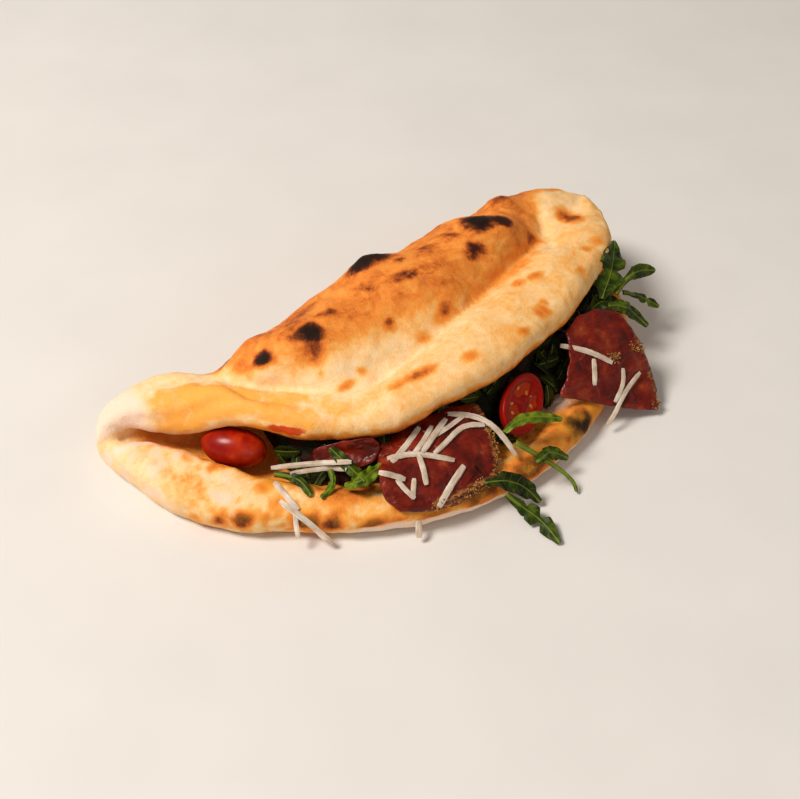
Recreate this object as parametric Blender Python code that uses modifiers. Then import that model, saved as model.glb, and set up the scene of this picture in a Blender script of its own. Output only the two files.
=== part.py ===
"""A baked calzone, folded open along its front and filled after baking.

One folded round of dough with a puffed lid, over a heap of rocket, cured beef, cherry tomatoes
and shaved hard cheese. +X runs along the fold, -Y is the open side, and z = 0 is the flat base.
Shapes are worked out in millimetres and built in metres.
"""
import math

import bmesh
import bpy
import numpy as np
from mathutils import Matrix, Vector
from mathutils.bvhtree import BVHTree

MM = 0.001

# The round of dough, folded over its own filling
REACH_LEFT = 136.0       # from the origin to the left tip
REACH_RIGHT = 136.0
BOTTOM_ARC = 137.0       # radius of the lower flap's edge
BOTTOM_ARC_Y = 69.0
LID_ARC = 135.0          # radius of the lid's edge, set back from the lower flap
LID_ARC_Y = 99.0
TIP_LENGTH = 17.0        # length over which each tip rounds off
STATIONS = 90
STEPS = (3, 2, 3, 3, 4, 4, 4, 4, 4, 4, 4, 4)
DOUGH_SHARE = 0.053      # of the evenly rebuilt skin's triangles
CAP_STEPS = 5            # points round each of the sheet's two edges

# Blisters and dents on the outside of the crust: x, y, z, radius, height
BLISTERS = (
    (0, 44, 58, 11, 6.5),
    (-62, 25, 42, 12, 2.5),
    (-40, 18, 55, 13, 2.0),
    (60, 42, 58, 15, 3.0),
    (86, 62, 50, 13, 4.5),
    (114, 46, 46, 12, 2.0),
    (30, 8, 54, 20, 2.0),
    (-88, 18, 32, 17, 3.5),
    (-112, 34, 26, 15, 3.0),
    (-104, -12, 12, 16, 2.0),
    (-62, -42, 12, 16, 1.5),
    (58, -50, 10, 14, 1.5),
    (45, -18, 38, 14, 1.5),
    (84, 2, 40, 14, 1.5),
    (-48, 34, 53, 13, -5.0),
    (68, 54, 59, 12, -5.0),
    (112, 61, 45, 13, 4.0),
    (121, 37, 53, 12, -4.0),
)

JOINER = "MANIFOLD"

# The heap of leaves that fills the fold
HEAP_GAP = 2.3
HEAP_STATIONS = 28
HEAP_LEFT = -68.0
HEAP_RIGHT = 118.0

OPEN_SIDE = Vector((-0.35, -0.59, 0.72))     # out of the fold's mouth and up

# Fillings that show, each from points read along it
HAM_THICK = 1.6
LEAF_THICK = 0.8
LEAF_STEPS = 10
WHOLE_TOMATO = ((-86, 5, 16.3), (14.5, 8.7, 8.7), math.radians(-44))
HALF_TOMATO = ((31, -42, 26.5), (16, 11, 8), (0.35, -0.72, 0.6), (0.9, 0.1, 0.45))
RIM_SHREDS = (
    (((-81, -24, 18), (-78, -41, 15)), 3.0),
    (((-83, -34, 15), (-77, -44, 13), (-71, -52, 6)), 3.2),
    (((-80, -41, 12), (-82, -47, 8)), 2.4),
    (((-35, -64, 9), (-37, -68, 3.5)), 3.4),
)
HAM = (
    ("ham_front", (
        ((-38, -30, 24), (-20, -28, 29), (-2, -29, 31), (13, -33, 30)),
        ((-43, -41, 22), (-24, -42, 28), (-4, -43, 29), (12, -44, 28)),
        ((-46, -50, 17), (-28, -54, 22), (-9, -54, 24), (12, -52, 21)),
        ((-45, -55, 14), (-29, -62, 15), (-11, -63, 17), (8, -60, 15)),
        ((-42, -58, 12), (-27, -66, 9), (-12, -67, 11), (4, -63, 12)),
    ), 3, 3, (
        (((-36, -44, 27), (-18, -35, 30)), 2.8),
        (((-37, -45, 27), (-26, -49, 29), (-13, -56, 26)), 2.6),
        (((-23, -47, 29), (-6, -37, 31)), 3.0),
        (((-28, -46, 29), (-14, -38, 31)), 2.6),
        (((-20, -49, 29), (1, -42, 31)), 2.6),
        (((-24, -49, 28), (-28, -58, 22)), 2.8),
        (((-35, -58, 18), (-30, -53, 22)), 2.4),
        (((-38, -49, 20), (-34, -58, 18)), 2.4),
        (((-41, -42, 20), (-35, -50, 23)), 2.6),
        (((-26, -64, 14), (-10, -58, 26)), 3.2),
        (((-9, -46, 31), (5, -43, 32)), 2.6),
        (((-1, -39, 32), (4, -42, 32), (9, -48, 28)), 2.6),
    )),
    ("ham_right", (
        ((66, -20, 36), (78, -13, 39), (90, -14, 39), (98, -20, 35)),
        ((64, -27, 34), (78, -27, 35), (91, -26, 33), (103, -31, 26)),
        ((60, -34, 30), (76, -37, 27), (88, -39, 23), (106, -38, 15)),
        ((54, -39, 24), (70, -43, 19), (84, -47, 12), (103, -48, 7)),
        ((49, -41, 21), (66, -46, 15), (81, -52, 6), (99, -57, 2.5)),
    ), 3, 3, (
        (((63, -29, 36), (70, -33, 32), (78, -38, 27)), 2.6),
        (((72, -35, 29), (68, -42, 22)), 2.6),
        (((95, -43, 13), (80, -46, 12), (72, -50, 6)), 2.8),
        (((85, -40, 20), (81, -45, 14)), 2.4),
    )),
    ("ham_inner", (
        ((-62, -17, 24), (-48, -25, 27), (-34, -30, 29)),
        ((-63, -21, 20), (-49, -30, 23), (-36, -35, 26)),
        ((-62, -26, 17), (-50, -35, 19), (-39, -38, 22)),
    ), 3, 3, (
        (((-79, -17, 19.5), (-64, -26, 22), (-50, -34, 24)), 2.8),
        (((-72, -24, 19), (-62, -30, 20), (-53, -35, 22)), 2.4),
    )),
)
LEAVES = (
    ("rocket_left_blade", ((-55, -25, 27), (-52, -33, 23), (-48, -42, 19)), 3.4, 0, 0.0, 0.2),
    ("rocket_left_wide", ((-56, -40, 18), (-48, -42, 20), (-40, -42, 25)), 5.5, 1, 0.2, 0.2),
    ("rocket_left_sprig", ((-58, -30, 20), (-60, -37, 18), (-67, -39, 16)), 2.6, 1, 0.2, 0.0),
    ("rocket_left_stalk", ((-79, -20, 19), (-71, -27, 19), (-70, -36, 16)), 2.8, 0, 0.35, 0.0),
    ("rocket_front_fold", ((14, -52, 26), (22, -50, 30), (33, -54, 28), (42, -55, 23)), 5.5, 1, 0.0, 0.5),
    ("rocket_front_stalk", ((16, -58, 24), (28, -66, 14), (39, -75, 4), (36, -78, 1.5)), 1.3, 0, 0.6, 0.0),
    ("rocket_front_wing", ((22, -66, 16), (31, -63, 16), (39, -66, 10)), 6.5, 1, 0.1, 0.3),
    ("rocket_front_dark", ((-4, -66, 17), (6, -68, 17), (15, -72, 9), (18, -76, 3)), 8.5, 1, 0.0, 0.2),
    ("rocket_front_tip", ((3, -72, 12), (8, -78, 5), (14, -84, 3), (13, -98, 1.5)), 6.5, 2, 0.25, 0.0),
    ("rocket_right_top", ((96, -9, 36), (108, 2, 41), (119, 14, 46)), 10.0, 2, 0.0, 0.0),
    ("rocket_right_round", ((104, -9, 36), (120, -1, 38), (134, -1, 33)), 5.5, 0, 0.5, 0.0),
    ("rocket_right_sprig", ((113, -4, 30), (124, -6, 24), (132, -10, 18)), 3.5, 2, 0.3, 0.4),
    ("rocket_right_broad", ((90, -10, 33), (99, -8, 34), (108, -14, 27)), 8.5, 1, 0.0, 0.2),
    ("rocket_right_low", ((98, -12, 33), (108, -12, 29), (118, -19, 18)), 6.0, 1, 0.0, 0.0),
)


def ramp(x, a, b):
    """Goes smoothly from 0 at a to 1 at b."""
    t = min(max((x - a) / (b - a), 0.0), 1.0)
    return t * t * (3 - 2 * t)


def swell(x, middle, width):
    return math.exp(-(((x - middle) / width) ** 2))


def arc_edge(x, radius, middle_x, middle_y):
    inside = max(radius ** 2 - (x - middle_x) ** 2, 0.0)
    return middle_y - math.sqrt(inside)


def bottom_edge(x):
    return arc_edge(x, BOTTOM_ARC, -1.0, BOTTOM_ARC_Y) - 9 * ramp(-x, 75, 118) - 11 * ramp(x, 98, 126)


def lid_edge(x):
    left = -39.5 + 0.86 * 8 * math.log1p(math.exp((-x - 36) / 8)) - 3.5 * swell(x, -66, 14)
    right = arc_edge(x, LID_ARC, 4.0, LID_ARC_Y) - 13 * ramp(x, 88, 128) + 3 * swell(x, 50, 20) - 2
    share = ramp(x, -32, 2)
    return left + (right - left) * share


def blend(a, b, share):
    return a + (b - a) * share


def shoulder_line(x):
    """Where the lid turns down into the fold at the back."""
    line = 44.5 + 0.0012 * (x + 45) ** 2 - 10 * swell(x, -62, 24) - 12 * ramp(x, 98, 134)
    return line + 3 * swell(x, -98, 14) - 7 * ramp(-x, 112, 132)


def shoulder_rise(x):
    """How the crust swells behind the nose, and drops away at its end."""
    return 5 * swell(x, -98, 13) - 3 * ramp(-x, 112, 132)


def valley_line(x):
    rise = max(x + 20, 0.0) / 110
    return -12 + 52 * ramp(-x, 38, 90) + 46 * rise ** 1.25


def midline(x):
    """The folded sheet's middle at x, as (y, z, half thickness), from the lower edge to the lid's."""
    front, lid, shoulder = bottom_edge(x), lid_edge(x), shoulder_line(x)
    back = shoulder + 3 + 5 * ramp(x, -100, -50)
    deep = back - front
    shoulder_z = 22 + 26 * ramp(x, -90, -50) + 5 * ramp(x, -40, 30) - 13 * ramp(x, 58, 112)
    shoulder_z += shoulder_rise(x)
    crest_z = 30 + 27 * ramp(x, -88, -52) + 5 * ramp(x, -40, 20) - 14 * ramp(x, 66, 98)
    crest_z += shoulder_rise(x)
    valley_z = 30 + 15 * ramp(x, -84, -10) + 2 * ramp(x, 0, 80)
    lid_z = 23 + 10 * ramp(x, -118, -55) + 10 * ramp(x, -55, 15) + 5 * swell(x, -82, 13)
    lid_z -= 1.5 * ramp(-x, 88, 100)
    rim = min(8.5 - 2 * ramp(x, -80, 10), deep / 4)
    roll = min(15 + 5 * ramp(-x, 10, 60) + 18 * ramp(-x, 77, 108), 0.55 * deep)
    roll_h = 6.0 + 2.4 * ramp(-x, 45, 85)
    floor = 5.0 - 2.1 * ramp(-x, 55, 72)
    lid_h = min(7.0 + 0.8 * ramp(x, -80, 0), (shoulder - lid) / 4)
    wide = lid_h * 1.15
    top = lid + wide
    flat = shoulder - top
    puffed = ramp(x, -116, -92) * (1 - ramp(x, 98, 122))
    crest = blend(top + 0.7 * flat, max(24 + 0.1 * x, top + 0.7 * flat), puffed)
    valley = blend(top + 0.45 * flat, min(valley_line(x), top + 0.5 * flat), puffed)
    crest_z = blend(shoulder_z + 4, crest_z, puffed)
    valley_z = blend(blend(lid_z, shoulder_z + 8, 0.6), valley_z, puffed)
    return [
        (front + rim, rim, rim * 0.92),
        (front + max(0.6 * roll, rim + 3), rim + 0.4, rim + 0.2),
        (front + roll, roll_h, roll_h),
        (front + roll + min(11, 0.1 * deep), floor + 0.4, floor + 0.2),
        (blend(front + roll, back, 0.55), floor, floor - 0.1),
        (back - min(16, 0.24 * deep), 5.8, 5.3),
        (back - min(5, 0.1 * deep), shoulder_z * 0.46, 5.6),
        (shoulder - 3, shoulder_z - 5, 6.0),
        (crest, crest_z - 7, 7.0),
        (blend(crest, valley, 0.55), blend(crest_z, valley_z, 0.5) - 5, 6.5),
        (valley, valley_z - 5, 5.5),
        (blend(valley, top, 0.5), blend(valley_z, lid_z + 6, 0.5) - 4.0, wide * 0.95),
        (top, lid_z, lid_h),
    ]


def spline(keys, steps):
    """Points on a Catmull-Rom spline through the keys, with each key's own step count."""
    p = np.array(keys)
    p = np.vstack([2 * p[0] - p[1], p, 2 * p[-1] - p[-2]])
    out = []
    for i in range(len(keys) - 1):
        a, b, c, d = p[i:i + 4]
        for k in range(steps[i]):
            t = k / steps[i]
            out.append(0.5 * (2 * b + (c - a) * t + (2 * a - 5 * b + 4 * c - d) * t ** 2 + (3 * b - a - 3 * c + d) * t ** 3))
    out.append(p[-2])
    return np.array(out)


def lump(x, y, z):
    """How far the baked crust stands out at a place: a slow ripple and the blisters."""
    ripple = 0.5 * math.sin(x * 0.11 + y * 0.05) + 0.4 * math.sin(x * 0.053 - y * 0.13 + z * 0.09)
    for bx, by, bz, radius, height in BLISTERS:
        far = ((x - bx) ** 2 + (y - by) ** 2 + (z - bz) ** 2) / radius ** 2
        ripple += height * math.exp(-far)
    return ripple


def tip(x):
    """How far the sheet has thinned towards a tip, from 1 down to 0."""
    past = max(x - REACH_RIGHT + TIP_LENGTH, -x - REACH_LEFT + TIP_LENGTH, 0.0) / TIP_LENGTH
    return math.sqrt(max(1 - past ** 2, 0.0))


def section(x):
    """The folded sheet's closed outline at x."""
    line = spline(midline(x), STEPS)
    thin = tip(x)
    pivot = (29, 11) if x < 0 else (50, 26)
    for axis in range(2):
        line[:, axis] = pivot[axis] + (line[:, axis] - pivot[axis]) * (0.3 + 0.7 * thin)
    middle, half = line[:, :2], line[:, 2] * thin
    along = np.gradient(middle, axis=0)
    along /= np.linalg.norm(along, axis=1)[:, None]
    side = np.column_stack([-along[:, 1], along[:, 0]])
    inner = middle + side * half[:, None]
    lumps = [lump(x, *(m - n * h)) * thin for m, n, h in zip(middle, side, half)]
    outer = middle - side * (half + lumps)[:, None]

    def cap(i, sign):
        turn = np.linspace(0, math.pi, CAP_STEPS + 2)[1:-1]
        return [middle[i] + half[i] * (-sign * side[i] * math.cos(a) + sign * along[i] * math.sin(a)) for a in turn]

    loop = np.vstack([outer, cap(-1, 1), inner[::-1], cap(0, -1)])
    loop[:, 1] = np.where(loop[:, 1] < 0.9, 0.0, loop[:, 1])
    return loop, middle, side, half


def stations(count):
    """Places along x, closer together towards the tips."""
    share = [math.sin((i / (count - 1) - 0.5) * math.pi) for i in range(count)]
    return [0.9995 * s * (REACH_RIGHT if s > 0 else REACH_LEFT) for s in share]


def dough_rows(count):
    rows = []
    for x in stations(count):
        loop = section(x)[0]
        rows.append(np.column_stack([np.full(len(loop), x), loop]))
    return rows


def heap_rows(count):
    """Rows of the heap that fills the mouth of the fold, clear of the dough under and over it."""
    rows = []
    for x in np.linspace(HEAP_LEFT, HEAP_RIGHT, count):
        _, middle, side, half = section(x)
        wall = middle + side * half[:, None]
        turn = int(np.argmax(wall[:, 0]))
        floor, roof = wall[:turn], wall[turn:][::-1]
        shut = ramp(x, HEAP_LEFT - 6, HEAP_LEFT + 16) * ramp(-x, -HEAP_RIGHT - 6, -HEAP_RIGHT + 18)
        low = max(bottom_edge(x) + 23, lid_edge(x) - 11 + 9 * swell(x, 33, 14)) + 14 * (1 - shut)
        high = lid_edge(x) + 10 + 8 * (1 - shut)
        rear = shoulder_line(x) - 14
        under = [(y, np.interp(y, floor[:, 0], floor[:, 1]) + HEAP_GAP) for y in np.linspace(low, rear, 10)]
        over = [(y, np.interp(y, roof[:, 0], roof[:, 1]) - HEAP_GAP) for y in np.linspace(rear, high, 8)]
        loop = under + over
        for k, share in enumerate((0.2, 0.4, 0.6, 0.8)):
            bulge = 1.6 * math.sin(x * 0.31 + k * 2.1) - 1.2 * math.sin(x * 0.17 - k * 1.3) + 1.0
            y = blend(high, low, share)
            loop.append((y - bulge * shut, blend(over[-1][1], under[0][1], share)))
        rows.append(np.array([(x, y, z) for y, z in loop]))
    return rows


def loft(name, rows):
    """One closed solid through rows of points, with each end row capped."""
    mesh = bmesh.new()
    rings = [[mesh.verts.new(tuple(p * MM)) for p in row] for row in rows]
    for a, b in zip(rings, rings[1:]):
        for i in range(len(a)):
            j = (i + 1) % len(a)
            mesh.faces.new((a[i], a[j], b[j], b[i]))
    mesh.faces.new(rings[0][::-1])
    mesh.faces.new(rings[-1])
    return solid(name, mesh)


def solid(name, mesh):
    """Turns a closed bmesh into an object made of outward triangles."""
    bmesh.ops.triangulate(mesh, faces=mesh.faces[:])
    bmesh.ops.recalc_face_normals(mesh, faces=mesh.faces[:])
    for face in mesh.faces:
        face.smooth = True
    data = bpy.data.meshes.new(name)
    mesh.to_mesh(data)
    mesh.free()
    return bpy.data.objects.new(name, data)


def surface(net, across, along):
    """A smooth grid of points through a net of points."""
    rows = np.array([spline(row, [across] * (len(row) - 1)) for row in net])
    return np.array([spline(rows[:, i], [along] * (len(net) - 1)) for i in range(rows.shape[1])])


def leaf_grid(path, width, lobes, bare, roll):
    """A leaf's grid of points: a bare stalk, then a blade with a lobed edge, bent along its path."""
    path = np.array(path, float)
    line = spline(path, [LEAF_STEPS // (len(path) - 1)] * (len(path) - 1))
    along = np.gradient(line, axis=0)
    along /= np.linalg.norm(along, axis=1)[:, None]
    grid = []
    for i, (p, a) in enumerate(zip(line, along)):
        t = i / (len(line) - 1)
        across = np.cross(a, np.array(OPEN_SIDE))
        across /= np.linalg.norm(across)
        lift = np.cross(across, a)
        turn = roll + 0.25 * math.sin(5 * t)
        side = across * math.cos(turn) + lift * math.sin(turn)
        lift = lift * math.cos(turn) - across * math.sin(turn)
        blade = max(t - bare, 0.0) / (1 - bare)
        shape = math.sin(math.pi * blade ** 0.8) ** 0.6 if 0 < blade < 0.999 else 0.0
        lobe = 0.62 + 0.38 * math.cos(2 * math.pi * lobes * (1 - blade))
        half = max(width * shape * lobe, 0.8)
        bend = 0.16 * half * math.sin(6 * t)
        grid.append([p + side * half * u + lift * (abs(u) * bend - 0.1 * half * u * u) for u in (-1, -0.5, 0, 0.5, 1)])
    return np.array(grid)


def even_out(thing, grain, share):
    """Rebuilds a solid's skin evenly, which also closes any folds that run into each other."""
    bpy.context.scene.collection.objects.link(thing)
    rebuild = thing.modifiers.new("rebuild", "REMESH")
    rebuild.mode = "VOXEL"
    rebuild.voxel_size = grain * MM
    thin_out = thing.modifiers.new("thin out", "DECIMATE")
    thin_out.ratio = share
    thin_out.use_collapse_triangulate = True
    graph = bpy.context.evaluated_depsgraph_get()
    data = bpy.data.meshes.new_from_object(thing.evaluated_get(graph))
    thing.modifiers.clear()
    thing.data = data
    bpy.context.scene.collection.objects.unlink(thing)
    mesh = bmesh.new()
    mesh.from_mesh(data)
    for v in mesh.verts:
        if v.co.z < 0.6 * MM:
            v.co.z = 0
    keep_largest(mesh)
    for face in mesh.faces:
        face.smooth = True
    mesh.to_mesh(data)
    mesh.free()
    return thing


def keep_largest(mesh):
    """Drops every loose shell but the one with the most faces."""
    left = set(mesh.faces)
    shells = []
    while left:
        shell = [left.pop()]
        for face in shell:
            for edge in face.edges:
                for other in edge.link_faces:
                    if other in left:
                        left.discard(other)
                        shell.append(other)
        shells.append(shell)
    shells.sort(key=len)
    for shell in shells[:-1]:
        bmesh.ops.delete(mesh, geom=shell, context="FACES")
    loose = [v for v in mesh.verts if not v.link_faces]
    bmesh.ops.delete(mesh, geom=loose, context="VERTS")


def tree_of(thing):
    """A search tree of an object's faces, in millimetres."""
    data = thing.data
    points = [v.co / MM for v in data.vertices]
    return BVHTree.FromPolygons(points, [tuple(p.vertices) for p in data.polygons])


def depth(p, tree):
    """How far a place is outside a solid, less than nought when it is inside."""
    co, normal, _, far = tree.find_nearest(p)
    inside = far < 15 and (p - co).dot(normal) < -0.3 * far
    return -far if inside else far


def push(p, trees, gap):
    """Moves a place out of the solids: towards the open side first, or else the short way."""
    start = Vector(p)
    for step in range(26):
        p = start + OPEN_SIDE * (0.4 * step)
        if p.z >= gap and min(depth(p, tree) for tree in trees) >= gap:
            return p
    p = start
    for tree in trees:
        if depth(p, tree) < gap:
            co, normal, _, far = tree.find_nearest(p)
            away = normal if depth(p, tree) < 0 or far < 0.05 else (p - co).normalized()
            p = co + away * gap
    p.z = max(p.z, gap)
    return p


def settle(grid, trees, gap, thick):
    """Lays a grid of points on the solids round it, so that a sheet along it crosses none."""
    grid = grid.copy()
    for turn in range(24):
        for i in range(grid.shape[0]):
            for j in range(grid.shape[1]):
                grid[i, j] = push(grid[i, j], trees, gap)
        if turn < 9:
            calm = grid.copy()
            calm[1:-1] += 0.25 * (grid[:-2] + grid[2:] - 2 * grid[1:-1])
            calm[:, 1:-1] += 0.25 * (grid[:, :-2] + grid[:, 2:] - 2 * grid[:, 1:-1])
            grid = calm
            continue
        trial = sheet("trial", grid, thick + 0.5)
        own = tree_of(trial)
        n, m = grid.shape[:2]
        moved = set()
        for tree in trees:
            for face, _ in own.overlap(tree):
                moved.update(v % (n * m) for v in trial.data.polygons[face].vertices)
        bpy.data.objects.remove(trial)
        if not moved:
            break
        for v in moved:
            grid[v // m, v % m] += np.array(OPEN_SIDE) * 0.4
    return grid


def sheet(name, grid, thick):
    """A closed thin solid on both sides of a grid of points."""
    du = np.gradient(grid, axis=0)
    dv = np.gradient(grid, axis=1)
    normal = np.cross(du, dv)
    normal /= np.maximum(np.linalg.norm(normal, axis=2), 1e-9)[..., None]
    mesh = bmesh.new()
    faces = []
    for side in (0.5, -0.5):
        points = grid + normal * thick * side
        faces.append([[mesh.verts.new(tuple(p * MM)) for p in row] for row in points])
    top, under = faces
    n, m = grid.shape[:2]
    for i in range(n - 1):
        for j in range(m - 1):
            mesh.faces.new((top[i][j], top[i + 1][j], top[i + 1][j + 1]))
            mesh.faces.new((top[i][j], top[i + 1][j + 1], top[i][j + 1]))
            mesh.faces.new((under[i][j], under[i + 1][j + 1], under[i + 1][j]))
            mesh.faces.new((under[i][j], under[i][j + 1], under[i + 1][j + 1]))
    edge = [(i, 0) for i in range(n)] + [(n - 1, j) for j in range(1, m)]
    edge += [(i, m - 1) for i in range(n - 2, -1, -1)] + [(0, j) for j in range(m - 2, 0, -1)]
    for (a, b), (c, d) in zip(edge, edge[1:] + edge[:1]):
        mesh.faces.new((top[a][b], top[c][d], under[c][d], under[a][b]))
    return solid(name, mesh)


def shred(ends, width, bed, sink=0.4, thick=1.3):
    """A shaving of cheese from one point to another, lying on the bed's surface."""
    up = np.array(OPEN_SIDE)
    line = spline(np.array(ends, float), [4 if len(ends) == 2 else 2] * (len(ends) - 1))
    along = np.gradient(line, axis=0)
    grid = []
    for p, a in zip(line, along):
        co, normal, _, far = bed.find_nearest(Vector(p))
        if far < 7:
            p = np.array(co) + up * sink
        side = np.cross(a, up)
        side /= np.linalg.norm(side)
        grid.append([p - side * width / 2, p + side * width / 2])
    return sheet("shred", np.array(grid), thick)


def join(base, extras):
    """Makes one solid of a base and the small things lying on it."""
    group = bpy.data.collections.new("joining")
    for thing in extras:
        group.objects.link(thing)
    bpy.context.scene.collection.objects.link(base)
    step = base.modifiers.new("join", "BOOLEAN")
    step.operation = "UNION"
    step.operand_type = "COLLECTION"
    step.collection = group
    step.solver = JOINER
    graph = bpy.context.evaluated_depsgraph_get()
    data = bpy.data.meshes.new_from_object(base.evaluated_get(graph))
    base.modifiers.clear()
    base.data = data
    bpy.context.scene.collection.objects.unlink(base)
    for thing in extras:
        bpy.data.objects.remove(thing)
    bpy.data.collections.remove(group)
    mesh = bmesh.new()
    mesh.from_mesh(data)
    bmesh.ops.triangulate(mesh, faces=mesh.faces[:])
    mesh.to_mesh(data)
    mesh.free()
    return base


def linear(code):
    """A colour written as six hex digits, as linear red, green, blue and alpha."""
    parts = [int(code[i:i + 2], 16) / 255 for i in (0, 2, 4)]
    return [c / 12.92 if c < 0.04 else ((c + 0.055) / 1.055) ** 2.4 for c in parts] + [1.0]


def paint(thing, code, rough):
    material = bpy.data.materials.new(thing.name)
    material.use_nodes = True
    shader = material.node_tree.nodes["Principled BSDF"]
    shader.inputs["Base Color"].default_value = linear(code)
    shader.inputs["Roughness"].default_value = rough
    shader.inputs["Metallic"].default_value = 0.0
    material.diffuse_color = linear(code)
    thing.data.materials.clear()
    thing.data.materials.append(material)


def egg(name, place, size, spin):
    """A tomato: a ball stretched along one axis."""
    mesh = bmesh.new()
    bmesh.ops.create_uvsphere(mesh, u_segments=18, v_segments=11, radius=1.0)
    turn = Matrix.Translation(place) @ Matrix.Rotation(spin, 4, "Z")
    turn = turn @ Matrix.Diagonal((*size, 1)) @ Matrix.Rotation(math.pi / 2, 4, "Y")
    bmesh.ops.transform(mesh, matrix=Matrix.Scale(MM, 4) @ turn, verts=mesh.verts[:])
    return solid(name, mesh)


def half_tomato(name, place, size, facing, long_axis):
    """Half a tomato, with a hollowed cut face turned to one side."""
    facing = Vector(facing).normalized()
    u = (Vector(long_axis) - facing * Vector(long_axis).dot(facing)).normalized()
    v = facing.cross(u)
    rings = [(0.25, -1.6), (0.5, -2.2), (0.76, -1.6), (0.86, 0.0), (0.96, 0.1)]
    rings += [(math.cos(math.radians(a)), -size[2] * math.sin(math.radians(a)) - 0.4) for a in (4, 28, 50, 72)]
    mesh = bmesh.new()
    rows = []
    for share, depth in rings:
        row = []
        for k in range(20):
            turn = 2 * math.pi * k / 20
            wave = 1 + (0.12 * math.cos(3 * turn) if share < 0.8 else 0)
            p = Vector(place) + (u * size[0] * math.cos(turn) + v * size[1] * math.sin(turn)) * share * wave + facing * depth
            row.append(mesh.verts.new(p * MM))
        rows.append(row)
    for a, b in zip(rows, rows[1:]):
        for k in range(20):
            mesh.faces.new((a[k], b[k], b[(k + 1) % 20], a[(k + 1) % 20]))
    mesh.faces.new(rows[0])
    mesh.faces.new(rows[-1][::-1])
    half = solid(name, mesh)
    seeds = []
    for k, (a, b) in enumerate(((-0.45, -0.2), (-0.2, 0.25), (0.05, -0.3), (0.3, 0.2), (0.45, -0.15), (-0.05, 0.0))):
        seed = bmesh.new()
        bmesh.ops.create_icosphere(seed, subdivisions=1, radius=1.0)
        p = Vector(place) + u * size[0] * a + v * size[1] * b - facing * 1.5
        turn = Matrix.Translation(p) @ facing.to_track_quat("Z", "Y").to_matrix().to_4x4()
        turn = turn @ Matrix.Rotation(k * 1.1, 4, "Z") @ Matrix.Diagonal((1.7, 1.0, 0.9, 1))
        bmesh.ops.transform(seed, matrix=Matrix.Scale(MM, 4) @ turn, verts=seed.verts[:])
        seeds.append(solid("seed", seed))
    return join(half, seeds)


def main():
    for old in list(bpy.data.objects):
        bpy.data.objects.remove(old)
    calzone = bpy.data.collections.new("calzone")
    bpy.context.scene.collection.children.link(calzone)
    trees = []

    def keep(thing, extras, code, rough):
        trees.append(tree_of(thing))
        trees.extend(tree_of(extra) for extra in extras)
        if extras:
            thing = join(thing, extras)
        paint(thing, code, rough)
        calzone.objects.link(thing)

    dough = even_out(loft("dough", dough_rows(STATIONS)), 1.7, DOUGH_SHARE)
    bed = tree_of(dough)
    keep(dough, [shred(ends, width, bed) for ends, width in RIM_SHREDS], "E3B778", 0.75)
    keep(loft("filling", heap_rows(HEAP_STATIONS)), [], "35421F", 0.6)
    keep(egg("tomato_whole", *WHOLE_TOMATO), [], "B3200F", 0.25)
    half = half_tomato("tomato_cut", *HALF_TOMATO)
    keep(half, [], "B8260F", 0.3)
    for name, net, across, along, laid in HAM:
        grid = settle(surface(net, across, along), trees, HAM_THICK / 2 + 0.5, HAM_THICK)
        ham = sheet(name, grid, HAM_THICK)
        bed = tree_of(ham)
        keep(ham, [shred(ends, width, bed) for ends, width in laid], "7A2A20", 0.4)
    for name, path, width, lobes, bare, roll in LEAVES:
        grid = leaf_grid(path, width, lobes, bare, roll)
        grid = settle(grid, trees, LEAF_THICK / 2 + 0.4, LEAF_THICK)
        keep(sheet(name, grid, LEAF_THICK), [], "3C5A22", 0.5)


main()
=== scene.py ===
# %% [markdown]
# # A wood-fired calzone, filled after baking
# One round of pizza dough is folded over, baked until its lid puffs and chars, opened along
# the front and stuffed with rocket, slices of cured beef, cherry tomatoes and shaved hard
# cheese. This lesson dresses the plain solids of that food: it builds each piece again with
# a fine surface, in the same place, and gives it a finish worked out from the real stuff.
#
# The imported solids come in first. They set every size and place, and they are never moved.

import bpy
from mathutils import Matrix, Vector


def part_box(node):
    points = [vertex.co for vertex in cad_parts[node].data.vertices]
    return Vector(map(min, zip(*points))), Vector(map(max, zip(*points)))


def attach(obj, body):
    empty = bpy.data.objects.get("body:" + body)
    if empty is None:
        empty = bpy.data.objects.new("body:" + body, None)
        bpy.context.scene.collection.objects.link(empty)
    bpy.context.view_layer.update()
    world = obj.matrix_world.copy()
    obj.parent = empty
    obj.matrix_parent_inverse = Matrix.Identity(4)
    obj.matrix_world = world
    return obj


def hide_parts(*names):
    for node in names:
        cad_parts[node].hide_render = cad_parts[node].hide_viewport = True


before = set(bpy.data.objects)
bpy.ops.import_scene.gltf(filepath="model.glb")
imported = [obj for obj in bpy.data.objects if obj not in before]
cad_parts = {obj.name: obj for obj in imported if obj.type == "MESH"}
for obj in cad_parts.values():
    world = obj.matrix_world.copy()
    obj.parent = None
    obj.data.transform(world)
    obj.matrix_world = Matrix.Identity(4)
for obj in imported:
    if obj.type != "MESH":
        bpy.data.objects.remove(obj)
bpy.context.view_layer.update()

# %% [markdown]
# Shapes are worked out in millimetres, because food is easy to think of in millimetres, and
# turned to metres as a mesh is made. `build` makes a mesh from points and faces, and stores
# named values on its points, which the materials read later.

# %% Units and the mesh maker
import math
import random

import bmesh
import bpy
import numpy as np
from mathutils import Matrix, Vector, noise
from mathutils.bvhtree import BVHTree
from mathutils.kdtree import KDTree

MM = 0.001


def placed(name, data):
    """A new object in the scene, made of its data."""
    thing = bpy.data.objects.new(name, data)
    bpy.context.scene.collection.objects.link(thing)
    return thing


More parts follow.
